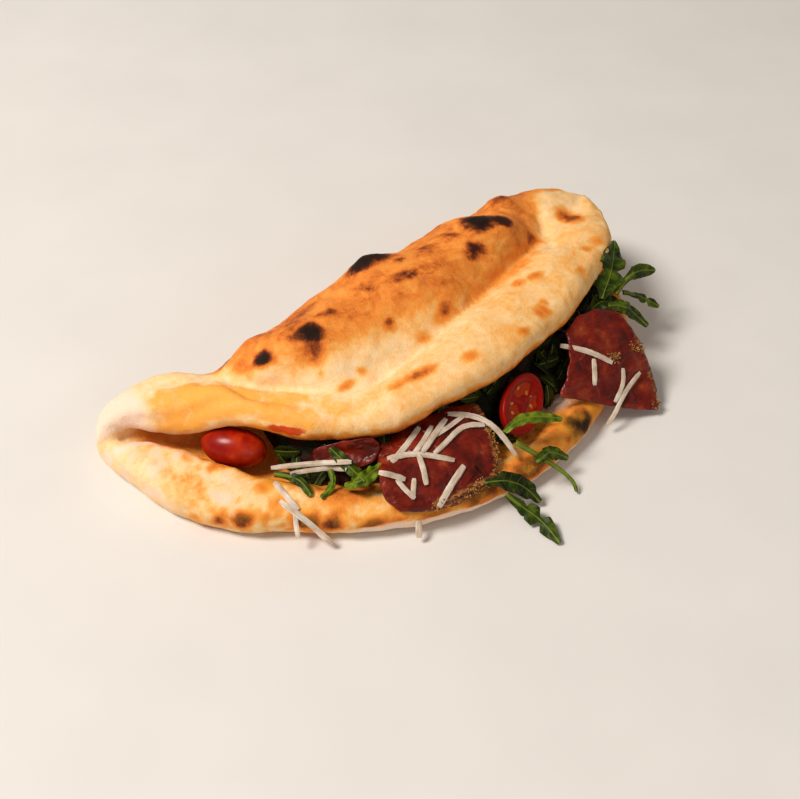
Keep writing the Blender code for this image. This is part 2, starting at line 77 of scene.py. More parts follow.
def build(name, points, faces, values=None, uv=None, links=()):
    """An object from points in millimetres, with values kept on its points."""
    data = bpy.data.meshes.new(name)
    data.from_pydata((np.asarray(points) * MM).tolist(), links, faces)
    data.update()
    for key, value in (values or {}).items():
        value = np.asarray(value, float)
        kind, field = {1: ("FLOAT", "value"), 3: ("FLOAT_VECTOR", "vector"),
                       4: ("FLOAT_COLOR", "color")}[value.size // len(value)]
        data.attributes.new(key, kind, "POINT").data.foreach_set(field, value.ravel())
    if uv is not None:
        corners = np.empty(len(data.loops), int)
        data.loops.foreach_get("vertex_index", corners)
        data.uv_layers.new(name="along").data.foreach_set("uv", np.asarray(uv)[corners].ravel())
    data.shade_smooth()
    return placed(name, data)


def tube(rows, size):
    """Faces of a closed tube through rings of points, with a cap at each end."""
    faces = [(r * size + i, r * size + (i + 1) % size,
              (r + 1) * size + (i + 1) % size, (r + 1) * size + i)
             for r in range(rows - 1) for i in range(size)]
    return faces + [tuple(range(size))[::-1], tuple(range((rows - 1) * size, rows * size))]


def turned_out(data):
    """Turns a closed mesh's faces outward."""
    mesh = bmesh.new()
    mesh.from_mesh(data)
    bmesh.ops.recalc_face_normals(mesh, faces=mesh.faces[:])
    mesh.to_mesh(data)
    mesh.free()


def points_and_faces(mesh):
    """Points and faces of a mesh being made, which is then freed."""
    mesh.verts.index_update()
    points = np.array([tuple(vert.co) for vert in mesh.verts])
    faces = [tuple(vert.index for vert in face.verts) for face in mesh.faces]
    mesh.free()
    return points, faces


def face_total(thing):
    return sum(len(face.vertices) - 2 for face in thing.data.polygons)


# %% [markdown]
# A material is a small graph of nodes. One helper adds a node, sets it and links it, so that
# each finish below reads as a short recipe. Colours are written as the sRGB hex values that
# the eye sees, and one function turns them to the linear values that a renderer needs.

# %% Helpers for finishes
def linear(code):
    """Six hex digits to linear red, green, blue and alpha."""
    parts = [int(code[i:i + 2], 16) / 255 for i in (0, 2, 4)]
    return [c / 12.92 if c < 0.04 else ((c + 0.055) / 1.055) ** 2.4 for c in parts] + [1.0]


def feed(tree, socket, value):
    """Gives an input a value, or links it to an output or to a node's first output in use."""
    if isinstance(value, bpy.types.Node):
        value = next(output for output in value.outputs if output.enabled)
    if isinstance(value, bpy.types.NodeSocket):
        tree.links.new(value, socket)
    else:
        socket.default_value = value


def add(tree, kind, inputs=None, stops=(), **settings):
    """Adds a node, of the shader's kinds if its kind is a short word; stops fill a colour ramp."""
    node = tree.nodes.new(kind if "Node" in kind else "ShaderNode" + kind)
    for key, value in settings.items():
        setattr(node, key, value)
    for key, value in (inputs or {}).items():
        feed(tree, node.inputs[key], value)
    if stops:
        band = node.color_ramp
        while len(band.elements) < len(stops):
            band.elements.new(0.5)
        for element, (place, code) in zip(band.elements, stops):
            element.position = place
            element.color = linear(code)
    return node


def shade(tree, **inputs):
    """Sets or links inputs of a material's shader, each named with _ for a space."""
    for key, value in inputs.items():
        feed(tree, tree.nodes["Principled BSDF"].inputs[key.replace("_", " ")], value)


def begin(name, **values):
    """A new material with its shader's values set, its node tree, and the place in the object."""
    material = bpy.data.materials.new(name)
    material.use_nodes = True
    tree = material.node_tree
    shade(tree, **values)
    return material, tree, add(tree, "TexCoord").outputs["Object"]


def speckled(name, grain, stops, detail=2.0, **values):
    """A finish whose colour follows one noise with features of that many millimetres."""
    material, tree, place = begin(name, **values)
    patch = add(tree, "TexNoise", {"Vector": place, "Scale": 1 / (grain * MM), "Detail": detail})
    shade(tree, Base_Color=add(tree, "ValToRGB", {0: patch}, stops))
    return material, tree, place


def layered(tree, under, over, value, *limits):
    """One colour laid over another as a value goes between two limits, and the share of it.

    The last two numbers are the share at each limit.
    """
    over = linear(over) if isinstance(over, str) else over
    numbers = dict(enumerate((value, *limits)))
    share = add(tree, "MapRange", numbers, interpolation_type="SMOOTHSTEP")
    return add(tree, "Mix", {0: share, 6: under, 7: over}, data_type="RGBA"), share


# %% [markdown]
# ## The folded sheet
# The dough is one sheet, about 12 mm thick, folded back over itself. It could be sculpted,
# but a rule is easier to steer: at each place along the fold, thirteen points give the middle
# of the sheet and its half thickness, from the front edge of the lower flap, back under the
# filling, up over the ridge and down to the edge of the lid. A smooth curve joins them.

# %% Driving sizes of the dough
REACH = 136.0            # from the middle to each tip
BOTTOM_ARC = 137.0       # radius of the lower flap's edge
BOTTOM_ARC_Y = 69.0
LID_ARC = 135.0          # radius of the lid's edge, set back from the lower flap
LID_ARC_Y = 99.0
TIP_LENGTH = 17.0
STATIONS = 230
STEPS = (6, 4, 6, 6, 8, 8, 8, 8, 8, 8, 8, 8)
CAP_STEPS = 8
SKIN_GRAIN = 1.32        # size of the rebuilt skin's faces

# Blisters and dents on the outside of the crust: x, y, z, radius, height
BLISTERS = (
    (0, 44, 58, 11, 6.5),
    (-62, 25, 42, 12, 2.5),
    (-40, 18, 55, 13, 2),
    (60, 42, 58, 15, 3),
    (86, 62, 50, 13, 4.5),
    (114, 46, 46, 12, 2),
    (30, 8, 54, 20, 2),
    (-88, 18, 32, 17, 3.5),
    (-112, 34, 26, 15, 3),
    (-104, -12, 12, 16, 2),
    (-62, -42, 12, 16, 1.5),
    (58, -50, 10, 14, 1.5),
    (45, -18, 38, 14, 1.5),
    (84, 2, 40, 14, 1.5),
    (-48, 34, 53, 13, -5),
    (68, 54, 59, 12, -5),
    (112, 61, 45, 13, 4),
    (121, 37, 53, 12, -4),
)


def ramp(x, a, b):
    """Goes smoothly from 0 at a to 1 at b."""
    t = np.clip((x - a) / (b - a), 0.0, 1.0)
    return t * t * (3 - 2 * t)


def swell(x, middle, width):
    return np.exp(-(((x - middle) / width) ** 2))


def blend(a, b, share):
    return a + (b - a) * share


def arc_edge(x, radius, middle_x, middle_y):
    inside = max(radius ** 2 - (x - middle_x) ** 2, 0.0)
    return middle_y - math.sqrt(inside)


def bottom_edge(x):
    edge = arc_edge(x, BOTTOM_ARC, -1.0, BOTTOM_ARC_Y)
    return edge - 9 * ramp(-x, 75, 118) - 11 * ramp(x, 98, 126)


def lid_edge(x):
    left = -39.5 + 0.86 * 8 * math.log1p(math.exp((-x - 36) / 8)) - 3.5 * swell(x, -66, 14)
    right = arc_edge(x, LID_ARC, 4.0, LID_ARC_Y) - 13 * ramp(x, 88, 128) + 3 * swell(x, 50, 20) - 2
    return blend(left, right, ramp(x, -32, 2))


def shoulder_line(x):
    """Where the lid turns down into the fold at the back."""
    line = 44.5 + 0.0012 * (x + 45) ** 2 - 10 * swell(x, -62, 24) - 12 * ramp(x, 98, 134)
    return line + 3 * swell(x, -98, 14) - 7 * ramp(-x, 112, 132)


def shoulder_rise(x):
    """How the crust swells behind the nose, and drops away at its end."""
    return 5 * swell(x, -98, 13) - 3 * ramp(-x, 112, 132)


def valley_line(x):
    rise = max(x + 20, 0.0) / 110
    return -12 + 52 * ramp(-x, 38, 90) + 46 * rise ** 1.25


# %% [markdown]
# `midline` holds the baker's shape: a plump roll along the front, a thin floor under the
# filling, a ridge that stands highest left of the middle, and a sunken valley between the
# ridge and the lid's soft edge.

# %% The middle of the sheet at one place
def midline(x):
    """The sheet's middle at x, as (y, z, half thickness), from the lower edge to the lid's."""
    front, lid, shoulder = bottom_edge(x), lid_edge(x), shoulder_line(x)
    back = shoulder + 3 + 5 * ramp(x, -100, -50)
    deep = back - front
    shoulder_z = 22 + 26 * ramp(x, -90, -50) + 5 * ramp(x, -40, 30) - 13 * ramp(x, 58, 112)
    shoulder_z += shoulder_rise(x)
    crest_z = 30 + 27 * ramp(x, -88, -52) + 5 * ramp(x, -40, 20) - 14 * ramp(x, 66, 98)
    crest_z += shoulder_rise(x)
    valley_z = 30 + 15 * ramp(x, -84, -10) + 2 * ramp(x, 0, 80)
    lid_z = 23 + 10 * ramp(x, -118, -55) + 10 * ramp(x, -55, 15) + 5 * swell(x, -82, 13)
    lid_z -= 1.5 * ramp(-x, 88, 100)
    rim = min(8.5 - 2 * ramp(x, -80, 10), deep / 4)
    roll = min(15 + 5 * ramp(-x, 10, 60) + 18 * ramp(-x, 77, 108), 0.55 * deep)
    roll_h = 6.0 + 2.4 * ramp(-x, 45, 85)
    floor = 5.0 - 2.1 * ramp(-x, 55, 72)
    lid_h = min(7.0 + 0.8 * ramp(x, -80, 0), (shoulder - lid) / 4)
    wide = lid_h * 1.15
    top = lid + wide
    flat = shoulder - top
    puffed = ramp(x, -116, -92) * (1 - ramp(x, 98, 122))
    crest = blend(top + 0.7 * flat, max(24 + 0.1 * x, top + 0.7 * flat), puffed)
    valley = blend(top + 0.45 * flat, min(valley_line(x), top + 0.5 * flat), puffed)
    crest_z = blend(shoulder_z + 4, crest_z, puffed)
    valley_z = blend(blend(lid_z, shoulder_z + 8, 0.6), valley_z, puffed)
    return [
        (front + rim, rim, rim * 0.92),
        (front + max(0.6 * roll, rim + 3), rim + 0.4, rim + 0.2),
        (front + roll, roll_h, roll_h),
        (front + roll + min(11, 0.1 * deep), floor + 0.4, floor + 0.2),
        (blend(front + roll, back, 0.55), floor, floor - 0.1),
        (back - min(16, 0.24 * deep), 5.8, 5.3),
        (back - min(5, 0.1 * deep), shoulder_z * 0.46, 5.6),
        (shoulder - 3, shoulder_z - 5, 6.0),
        (crest, crest_z - 7, 7.0),
        (blend(crest, valley, 0.55), blend(crest_z, valley_z, 0.5) - 5, 6.5),
        (valley, valley_z - 5, 5.5),
        (blend(valley, top, 0.5), blend(valley_z, lid_z + 6, 0.5) - 4.0, wide * 0.95),
        (top, lid_z, lid_h),
    ]


# %% [markdown]
# From the middle line, the outside and the inside of the crust are stepped off to each side,
# with a round cap at the two free edges. Blisters and a slow ripple push the outside out.
# Each point also remembers how far along the sheet it lies (0 at the front edge, 12 at the
# lid's edge) and whether it is outside or inside: the oven's colours will need both.

# %% From the middle line to a skin
def spline(keys, steps):
    """Points on a Catmull-Rom spline through the keys, with each key's own step count."""
    p = np.array(keys, float)
    p = np.vstack([2 * p[0] - p[1], p, 2 * p[-1] - p[-2]])
    out = []
    for i in range(len(keys) - 1):
        a, b, c, d = p[i:i + 4]
        for k in range(steps[i]):
            t = k / steps[i]
            curve = (2 * a - 5 * b + 4 * c - d) * t ** 2 + (3 * b - a - 3 * c + d) * t ** 3
            out.append(0.5 * (2 * b + (c - a) * t + curve))
    out.append(p[-2])
    return np.array(out)


def lump(p):
    """How far the baked crust stands out at each place."""
    x, y, z = p.T
    ripple = 0.5 * np.sin(x * 0.11 + y * 0.05) + 0.4 * np.sin(x * 0.053 - y * 0.13 + z * 0.09)
    for *place, radius, height in BLISTERS:
        ripple += height * np.exp(-((p - place) ** 2).sum(1) / radius ** 2)
    return ripple


def tip(x):
    """How far the sheet has thinned towards a tip, from 1 down to 0."""
    past = max(abs(x) - REACH + TIP_LENGTH, 0.0) / TIP_LENGTH
    return math.sqrt(max(1 - past ** 2, 0.0))


ALONG = np.concatenate([i + np.arange(n) / n for i, n in enumerate(STEPS)] + [[12.0]])


def section(x):
    """The sheet's middle, sideways directions and half thickness at x."""
    line = spline(midline(x), STEPS)
    thin = tip(x)
    pivot = (29, 11) if x < 0 else (50, 26)
    for axis in range(2):
        line[:, axis] = pivot[axis] + (line[:, axis] - pivot[axis]) * (0.3 + 0.7 * thin)
    middle, half = line[:, :2], line[:, 2] * thin
    along = np.gradient(middle, axis=0)
    along /= np.linalg.norm(along, axis=1)[:, None]
    side = np.column_stack([-along[:, 1], along[:, 0]])
    return middle, along, side, half, thin


def outline(x):
    """The closed outline at x, with each point's place along the sheet and its side."""
    middle, along, side, half, thin = section(x)
    edge = middle - side * half[:, None]
    lumps = lump(np.column_stack([np.full(len(edge), x), edge])) * thin
    outer = edge - side * lumps[:, None]
    inner = middle + side * half[:, None]
    turn = np.linspace(0, math.pi, CAP_STEPS + 2)[1:-1, None]
    caps = [
        middle[i] + half[i] * sign * (along[i] * np.sin(turn) - side[i] * np.cos(turn))
        for i, sign in ((-1, 1), (0, -1))
    ]
    loop = np.vstack([outer, caps[0], inner[::-1], caps[1]])
    loop[:, 1] = np.where(loop[:, 1] < 0.9, 0.0, loop[:, 1])
    around = np.linspace(0, 1, CAP_STEPS)
    place = np.concatenate([ALONG, np.full(CAP_STEPS, 12.0), ALONG[::-1], np.zeros(CAP_STEPS)])
    inside = np.concatenate([np.zeros(len(outer)), around, np.ones(len(inner)), around[::-1]])
    return np.column_stack([np.full(len(loop), x), loop]), place, inside


def rows_of_dough():
    share = np.sin((np.arange(STATIONS) / (STATIONS - 1) - 0.5) * math.pi)
    return [outline(x) for x in 0.9995 * share * REACH]


# %% [markdown]
# At the pinched tips the two faces of the sheet run into each other. A voxel remesh settles
# that: it wraps one even skin round the whole thing, as dough closes on itself. The new skin
# has forgotten where it lies along the sheet, so each of its points asks the nearest points
# of the old one.

# %% One even skin
def rebuilt(thing, grain):
    """Wraps an even skin of square faces round a solid, and drops loose scraps."""
    step = thing.modifiers.new("skin", "REMESH")
    step.mode = "VOXEL"
    step.voxel_size = grain * MM
    graph = bpy.context.evaluated_depsgraph_get()
    data = bpy.data.meshes.new_from_object(thing.evaluated_get(graph))
    bpy.data.objects.remove(thing)
    mesh = bmesh.new()
    mesh.from_mesh(data)
    left, shells = set(mesh.verts), []
    while left:
        shell = [left.pop()]
        for v in shell:
            near = {edge.other_vert(v) for edge in v.link_edges} & left
            left -= near
            shell += near
        shells.append(shell)
    for shell in sorted(shells, key=len)[:-1]:
        bmesh.ops.delete(mesh, geom=shell, context="VERTS")
    mesh.to_mesh(data)
    mesh.free()
    turned_out(data)
    return data


def edges_of(data):
    pairs = np.empty(len(data.edges) * 2, int)
    data.edges.foreach_get("vertices", pairs)
    return pairs.reshape(-1, 2)


def calmed(values, pairs, turns, share):
    """Moves each point's values towards its neighbours' mean."""
    values = np.array(values, float)
    flat = values.reshape(len(values), -1)
    size = len(flat)
    count = np.bincount(pairs.ravel(), minlength=size)[:, None]
    for _ in range(turns):
        total = np.empty_like(flat)
        for k in range(flat.shape[1]):
            total[:, k] = np.bincount(pairs[:, 0], flat[pairs[:, 1], k], size)
            total[:, k] += np.bincount(pairs[:, 1], flat[pairs[:, 0], k], size)
        flat += share * (total / count - flat)
    return flat.reshape(values.shape)


rings = rows_of_dough()
old = np.vstack([ring for ring, _, _ in rings])
rough = build("crust_rough", old, tube(len(rings), len(rings[0][0])))
skin = rebuilt(rough, SKIN_GRAIN)
pairs = edges_of(skin)
skin_points = np.empty(len(skin.vertices) * 3)
skin.vertices.foreach_get("co", skin_points)
skin_points = calmed(skin_points.reshape(-1, 3) / MM, pairs, 3, 0.5)
print("skin points:", len(skin_points))

# %% Where each point lies on the sheet
old_place = np.concatenate([place for _, place, _ in rings])
old_inside = np.concatenate([inside for _, _, inside in rings])
finder = KDTree(len(old))
for number, point in enumerate(old):
    finder.insert(point, number)
finder.balance()
nearest = np.array([finder.find(point)[1] for point in skin_points])
along_sheet = calmed(old_place[nearest], pairs, 6, 0.5)
inside_sheet = calmed(old_inside[nearest], pairs, 6, 0.5)
print("along the sheet:", along_sheet.min().round(1), "to", along_sheet.max().round(1))

# %% [markdown]
# A baked skin is never smooth: it puckers over gas bubbles a few millimetres wide, creases
# where the soft edge was pressed down, and dimples between blisters. These are real relief,
# moved in the mesh, so that they show in the outline too.

# %% Puckers and creases
CREASES = (
    # path in plan, depth, width
    (((-90, 27), (-80, 17), (-76, 7), (-68, 0), (-60, -8), (-49, -15), (-38, -17), (-22, -14)),
     1.7, 2.6),
    (((98, 56), (96, 47), (95, 39), (91, 30), (87, 20)), 2.2, 3.0),
    (((-46, -22), (-30, -24), (-12, -22)), 0.7, 2.2),
    (((-60, 8), (-44, -6), (-26, -9), (-8, -10)), 0.6, 3.0),
)


def near_path(p, path):
    """Distance in plan from each point to a line of points."""
    flat = p[:, :2]
    best = np.full(len(p), 1e9)
    for a, b in zip(np.array(path, float), np.array(path[1:], float)):
        step = b - a
        t = np.clip(((flat - a) @ step) / (step @ step), 0, 1)[:, None]
        best = np.minimum(best, np.linalg.norm(flat - a - t * step, axis=1))
    return best


def grain_of(p, size, seed):
    """Smooth noise from -1 to 1 with features of about that many millimetres."""
    shift = Vector((seed * 17.3, seed * 7.1, seed * 3.7))
    return np.array([noise.noise(Vector(point) / size + shift) for point in p])


def normals_of(points, data):
    data.vertices.foreach_set("co", (points * MM).ravel())
    data.update()
    found = np.empty(len(points) * 3)
    data.vertices.foreach_get("normal", found)
    return found.reshape(-1, 3)


normal = normals_of(skin_points, skin)
upper = ramp(along_sheet, 8.2, 9.2) * (inside_sheet < 0.4)
outside = 1 - ramp(inside_sheet, 0.3, 0.7)
relief = 0.75 * grain_of(skin_points, 11, 1) + 0.34 * grain_of(skin_points, 4.6, 2)
relief += 0.16 * grain_of(skin_points, 2.6, 3)
for path, depth, width in CREASES:
    relief -= upper * depth * np.exp(-(near_path(skin_points, path) / width) ** 2)
relief *= ramp(skin_points[:, 2], 0.4, 4.0)
skin_points = skin_points + normal * relief[:, None]
skin_points[:, 2] = np.maximum(skin_points[:, 2], 0.0)
print("relief from", relief.min().round(2), "to", relief.max().round(2), "mm")

# %% [markdown]
# ## What the oven did
# The colour of the crust is a map of heat. The ridge stood nearest the flame, so it is
# toasted, and its thinnest blisters are black. The valley and the soft edge stayed pale,
# and the nose of the fold hardly coloured at all. Where tomato and oil ran out, the crust is
# saffron orange. Each of these is a value from 0 to 1 at each point, worked out from where
# the point lies, and the material turns the values into colour. Part of the browning is
# painted shade, under the lid's edge and inside the fold, and one slope is made paler as
# painted light.

# %% Toast, char, stain and pale dough
# The line in plan where the toasted ridge fades into the pale valley
TOAST_EDGE = (
    (-84, 31), (-68, 19), (-56, 6), (-42, -1), (-23, 1), (-5, 0), (18, 0), (33, 5), (47, 8),
    (60, 9), (71, 14), (83, 24), (92, 38), (104, 54),
)
# Scorched spots: place, half length along the fold, half width, char, toast
SPOTS = (
    ((-65, 17, 49), 7.4, 3.4, 0.95, 0.95),
    ((-45, 13, 58), 7, 5.6, 1.05, 1),
    ((-47, 7, 55), 7.5, 6, 0.25, 0.8),
    ((-33, 20, 59), 6.5, 3.4, 0.45, 0.85),
    ((-1, 42, 61), 13, 8, 1, 1),
    ((11, 33, 63), 6, 3, 0.7, 0.8),
    ((8, 22, 62), 8.5, 3.2, 0.5, 0.85),
    ((-12, 26, 61), 5, 3.6, 0.4, 0.8),
    ((-9, 5, 54), 3.6, 3.4, 0.35, 0.75),
    ((57, 40, 63), 10.5, 8.4, 1.15, 1),
    ((67, 36, 62), 8, 5, 0.8, 1),
    ((46, 25, 60), 6.8, 4.6, 0.6, 0.95),
    ((28, 36, 63), 12, 4.4, 0.25, 0.8),
    ((22, 22, 62), 12, 3.4, 0.1, 0.7),
    ((40, 36, 62), 9, 4, 0.2, 0.75),
    ((-36, 30, 58), 9, 4, 0.2, 0.75),
    ((83, 31, 50), 6, 5, 0.1, 0.7),
    ((76, 24, 56), 9, 6, 0.1, 0.62),
    ((84, 63, 54), 10, 8, 0, 0.8),
    ((68, 17, 49), 6, 3, 0, 0.6),
    ((-70, 23, 46), 8, 6, 0, 0.62),
    ((-54, 26, 54), 10, 6, 0, 0.7),
    ((-56, -46, 17), 7, 3.4, 0, 0.66),
    ((-114, -8, 16), 6, 4, 0, 0.38),
    ((18, 4, 52), 6, 4, 0.2, 0.75),
    ((2, -3, 48), 3.4, 3, 0, 0.46),
    ((109, 37, 50), 3.8, 7.5, 0.1, 0.82),
    ((55, -17, 51), 4, 3.2, 0.1, 0.68),
    ((59, -13, 51), 2.2, 2, 0.1, 0.6),
    ((11, -27, 51), 4, 2.6, 0, 0.56),
    ((-22, -24, 48), 5, 1.9, 0, 0.62),
    ((-12, -24, 49), 7.5, 2.2, 0, 0.78),
    ((41, -24, 50), 3.4, 1.9, 0, 0.6),
    ((65, 3, 53), 3.6, 2.4, 0.05, 0.62),
    ((56, 3, 53), 3.4, 2.2, 0.05, 0.62),
    ((98, 10, 51), 2.8, 2, 0, 0.55),
    ((88, -1, 51), 2.4, 2, 0, 0.5),
    ((107, 13, 51), 4.2, 2.4, 0, 0.5),
    ((-39, -10, 43), 3.4, 1.6, 0, 0.6),
    ((-30, -8, 46), 2, 1.8, 0, 0.62),
    ((-48, -3, 48), 2.2, 1.8, 0, 0.5),
    ((-99, -31, 12), 4, 3.8, 0.1, 0.88),
    ((-107, -25, 9), 3.8, 2.8, 0, 0.76),
    ((-76, -44, 11), 6.5, 4.2, 0.3, 0.95),
    ((-67, -49, 10), 5.4, 3.6, 0.25, 0.95),
    ((-52, -57, 9), 6.5, 4, 0.1, 0.9),
    ((-42, -60, 8), 4.4, 3, 0, 0.78),
    ((-57, -41, 15), 11, 5, 0, 0.74),
    ((55, -52, 10), 10, 8, 1.05, 1),
    ((48, -48, 12), 8, 6, 0.2, 0.85),
    ((47, -56, 11), 4, 3, 0.3, 0.8),
    ((22, -63, 10), 13, 6, 0.15, 0.9),
    ((-2, -64, 10), 15, 5, 0.3, 0.95),
    ((-27, -64, 8), 8, 3, 0, 0.78),
    ((-84, -23, 19), 5, 3, 0, 0.66),
    ((-20, 62, 40), 10, 8, 0.6, 0.9),
    ((34, 58, 44), 12, 7, 0.5, 0.9),
    ((-72, 40, 34), 9, 7, 0.5, 0.9),
    ((104, 70, 30), 8, 7, 0.4, 0.8),
)


def baked(p, face, s, outer):
    """Toast, char, stain and paleness of each point of the crust."""
    wander = [2.6 * grain_of(p, 8, 41 + k) + 1.1 * grain_of(p, 3.2, 51 + k) for k in range(3)]
    wander = np.column_stack(wander)
    patch, blotch = grain_of(p, 15, 6), grain_of(p, 6, 9)
    x, y, z = p.T
    lid = ramp(s, 6.6, 7.4) * outer
    flap = (1 - ramp(s, 2.6, 3.6))
    inward = y - np.interp(x, *np.array(TOAST_EDGE, float).T)
    inward += 3.0 * grain_of(p, 13, 5)
    reach = ramp(x, -88, -70) * (1 - ramp(x - 0.3 * (y - 25), 88, 101))
    ridge = lid * reach * ramp(inward, -5, 8)
    streak = grain_of(p * (0.45, 1.0, 1.0), 5, 12)
    toast = 0.17 + 0.28 * ridge + (0.14 - 0.05 * ramp(x, -10, 30)) * ridge * ramp(inward, 2, 20)
    toast += ridge * (0.09 * patch + 0.07 * blotch + 0.14 * np.clip(streak - 0.1, 0, 1))
    behind = ramp(s, 5.0, 6.6) * (1 - ramp(s, 7.2, 8.2)) * outer
    behind *= ramp(x, -128, -112) * (1 - ramp(x, 120, 131))
    toast = np.maximum(toast, behind * (0.3 + 0.27 * ramp(z, 12, 44) + 0.1 * patch))
    # the lid's overhanging edge, browned on its downward face partly as its bake and partly as
    # painted shade, the soft edge, and the flap's uneven colour
    under = ramp(-face[:, 2], -0.25, 0.55)
    toast += 0.7 * under * ramp(s, 10.4, 11.3) * ramp(x, -100, -60) * (1 - 0.5 * ramp(x, 60, 100))
    toast += lid * (1 - ridge) * 0.07 * ramp(s, 10.2, 11.2) * ramp(x, -60, -20)
    toast += lid * (0.04 * ramp(x, 0, 40) + 0.06 * ridge * ramp(-x, 20, 60))
    # painted light: this slope, turned from the lamp, is made less brown so that it reads as
    # brightly lit as the ridge
    toast -= 0.1 * lid * swell(x, 60, 13) * swell(y, 21, 8)
    toast += 0.06 * lid * swell(x, -27, 14) * swell(y, 8, 9)
    toast += flap * (0.09 * ramp(x, -128, -112) + 0.06 * ramp(x, -92, -60) + 0.22 * ramp(x, 20, 44))
    mottled = 0.30 * patch + 0.28 * blotch + 0.22 * grain_of(p, 2.8, 10)
    toast += flap * ramp(x, -126, -104) * np.clip(1.2 * mottled, -0.06, 0.5)
    # painted shade: the floor inside the fold and the hidden slope of the front roll are browned,
    # as they lie in shade
    painted_shade_inside = (1 - outer) * np.maximum(ramp(s, 2.3, 3.1), ramp(face[:, 1], 0.1, 0.5))
    painted_shade_inside *= (1 - ramp(s, 5.5, 6.5)) * ramp(x, -124, -112)
    toast += 0.34 * painted_shade_inside
    base = (1 - ramp(z, 0.5, 2.5)) * under * ramp(s, 1.0, 2.0) * outer
    toast = np.maximum(toast, base * (0.5 + 0.3 * patch))
    char = base * ramp(grain_of(p, 13, 7), 0.25, 0.5) * 0.8
    fresh = np.zeros(len(p))
    for place, long, wide, burnt, brown in SPOTS:
        loose = min(1.0, wide / 5)
        d = (p + wander * loose - place) / (long, wide, wide)
        far = np.sqrt((d ** 2).sum(1))
        toast = np.maximum(toast, (brown - 0.2) * (1 - ramp(far, 0.35, 1.9)) + 0.2 * (far < 1.9))
        char = np.maximum(char, burnt * (1 - ramp(far, 0.1, 1.5)))
        fresh = np.maximum(fresh, 1 - ramp(far, 0.6, 1.8))
    stain = np.max([
        lid * ramp(s, 10.3, 11.2) * ramp(x + 5 * patch, -117, -106) * (1 - 0.7 * ramp(x, -76, -30)),
        flap * ramp(x, 22, 44) * (0.62 + 0.5 * patch + 0.4 * blotch),
        flap * ramp(x, -120, -80) * (0.25 + 0.25 * patch + 0.2 * blotch),
        swell(x, -79, 9) * swell(y, -21, 8) * swell(z, 17, 8),
        0.45 * (1 - outer) * ramp(x, -118, -88),
    ], axis=0)
    pale = ramp(-x, 108, 120) * ramp(s, 7.5, 9.5)
    pale = np.maximum(pale, flap * ramp(-x, 58, 130) * (0.36 - 0.6 * patch - 0.6 * blotch))
    pale = np.maximum(pale, 0) * (1 - fresh)
    low = 8.6 - 2.8 * ramp(x, -50, 20) + 1.4 * grain_of(p, 22, 8)
    side = flap * (1 - ramp(s, 1.8, 2.6)) * (1 - ramp(z - low, -0.8, 0.6))
    side *= ramp(x, -76, -50) * (1 - ramp(x, 60, 76))
    pale = np.maximum(pale, side * 0.95)
    pale = np.maximum(pale, swell(x, 55, 9) * swell(y, -35, 8) * swell(z, 11, 8))
    toast *= 1 - 0.75 * side
    char *= 1 - 0.7 * side
    stain *= 1 - side
    return np.column_stack([toast, char, stain, np.clip(pale, 0, 1)])


normal = normals_of(skin_points, skin)
bake = baked(skin_points, normal, along_sheet, outside)
print("mean toast, char, stain and pale:", bake.mean(0).round(2))

# %% The crust's mesh
quads = [tuple(face.vertices) for face in skin.polygons]
sauce = swell(skin_points[:, 0], -69, 8) * swell(skin_points[:, 1], -13, 8)
sauce *= swell(skin_points[:, 2], 33.6, 2.4)
crust = build("crust", skin_points, quads, {"bake": bake, "sauce": sauce})
bpy.data.meshes.remove(skin)
print("crust triangles:", face_total(crust))

# %% [markdown]
# Baked wheat crust is matt with a faint satin where oil reached it. Its colour runs from
# cream through gold and orange brown to black, and never evenly: it is mottled at the scale
# of bubbles (about 9 mm), freckled at 2.5 mm and dusted finer still. The ramp below is that
# run of colours, and noise at those three sizes breaks up the smooth map of heat.

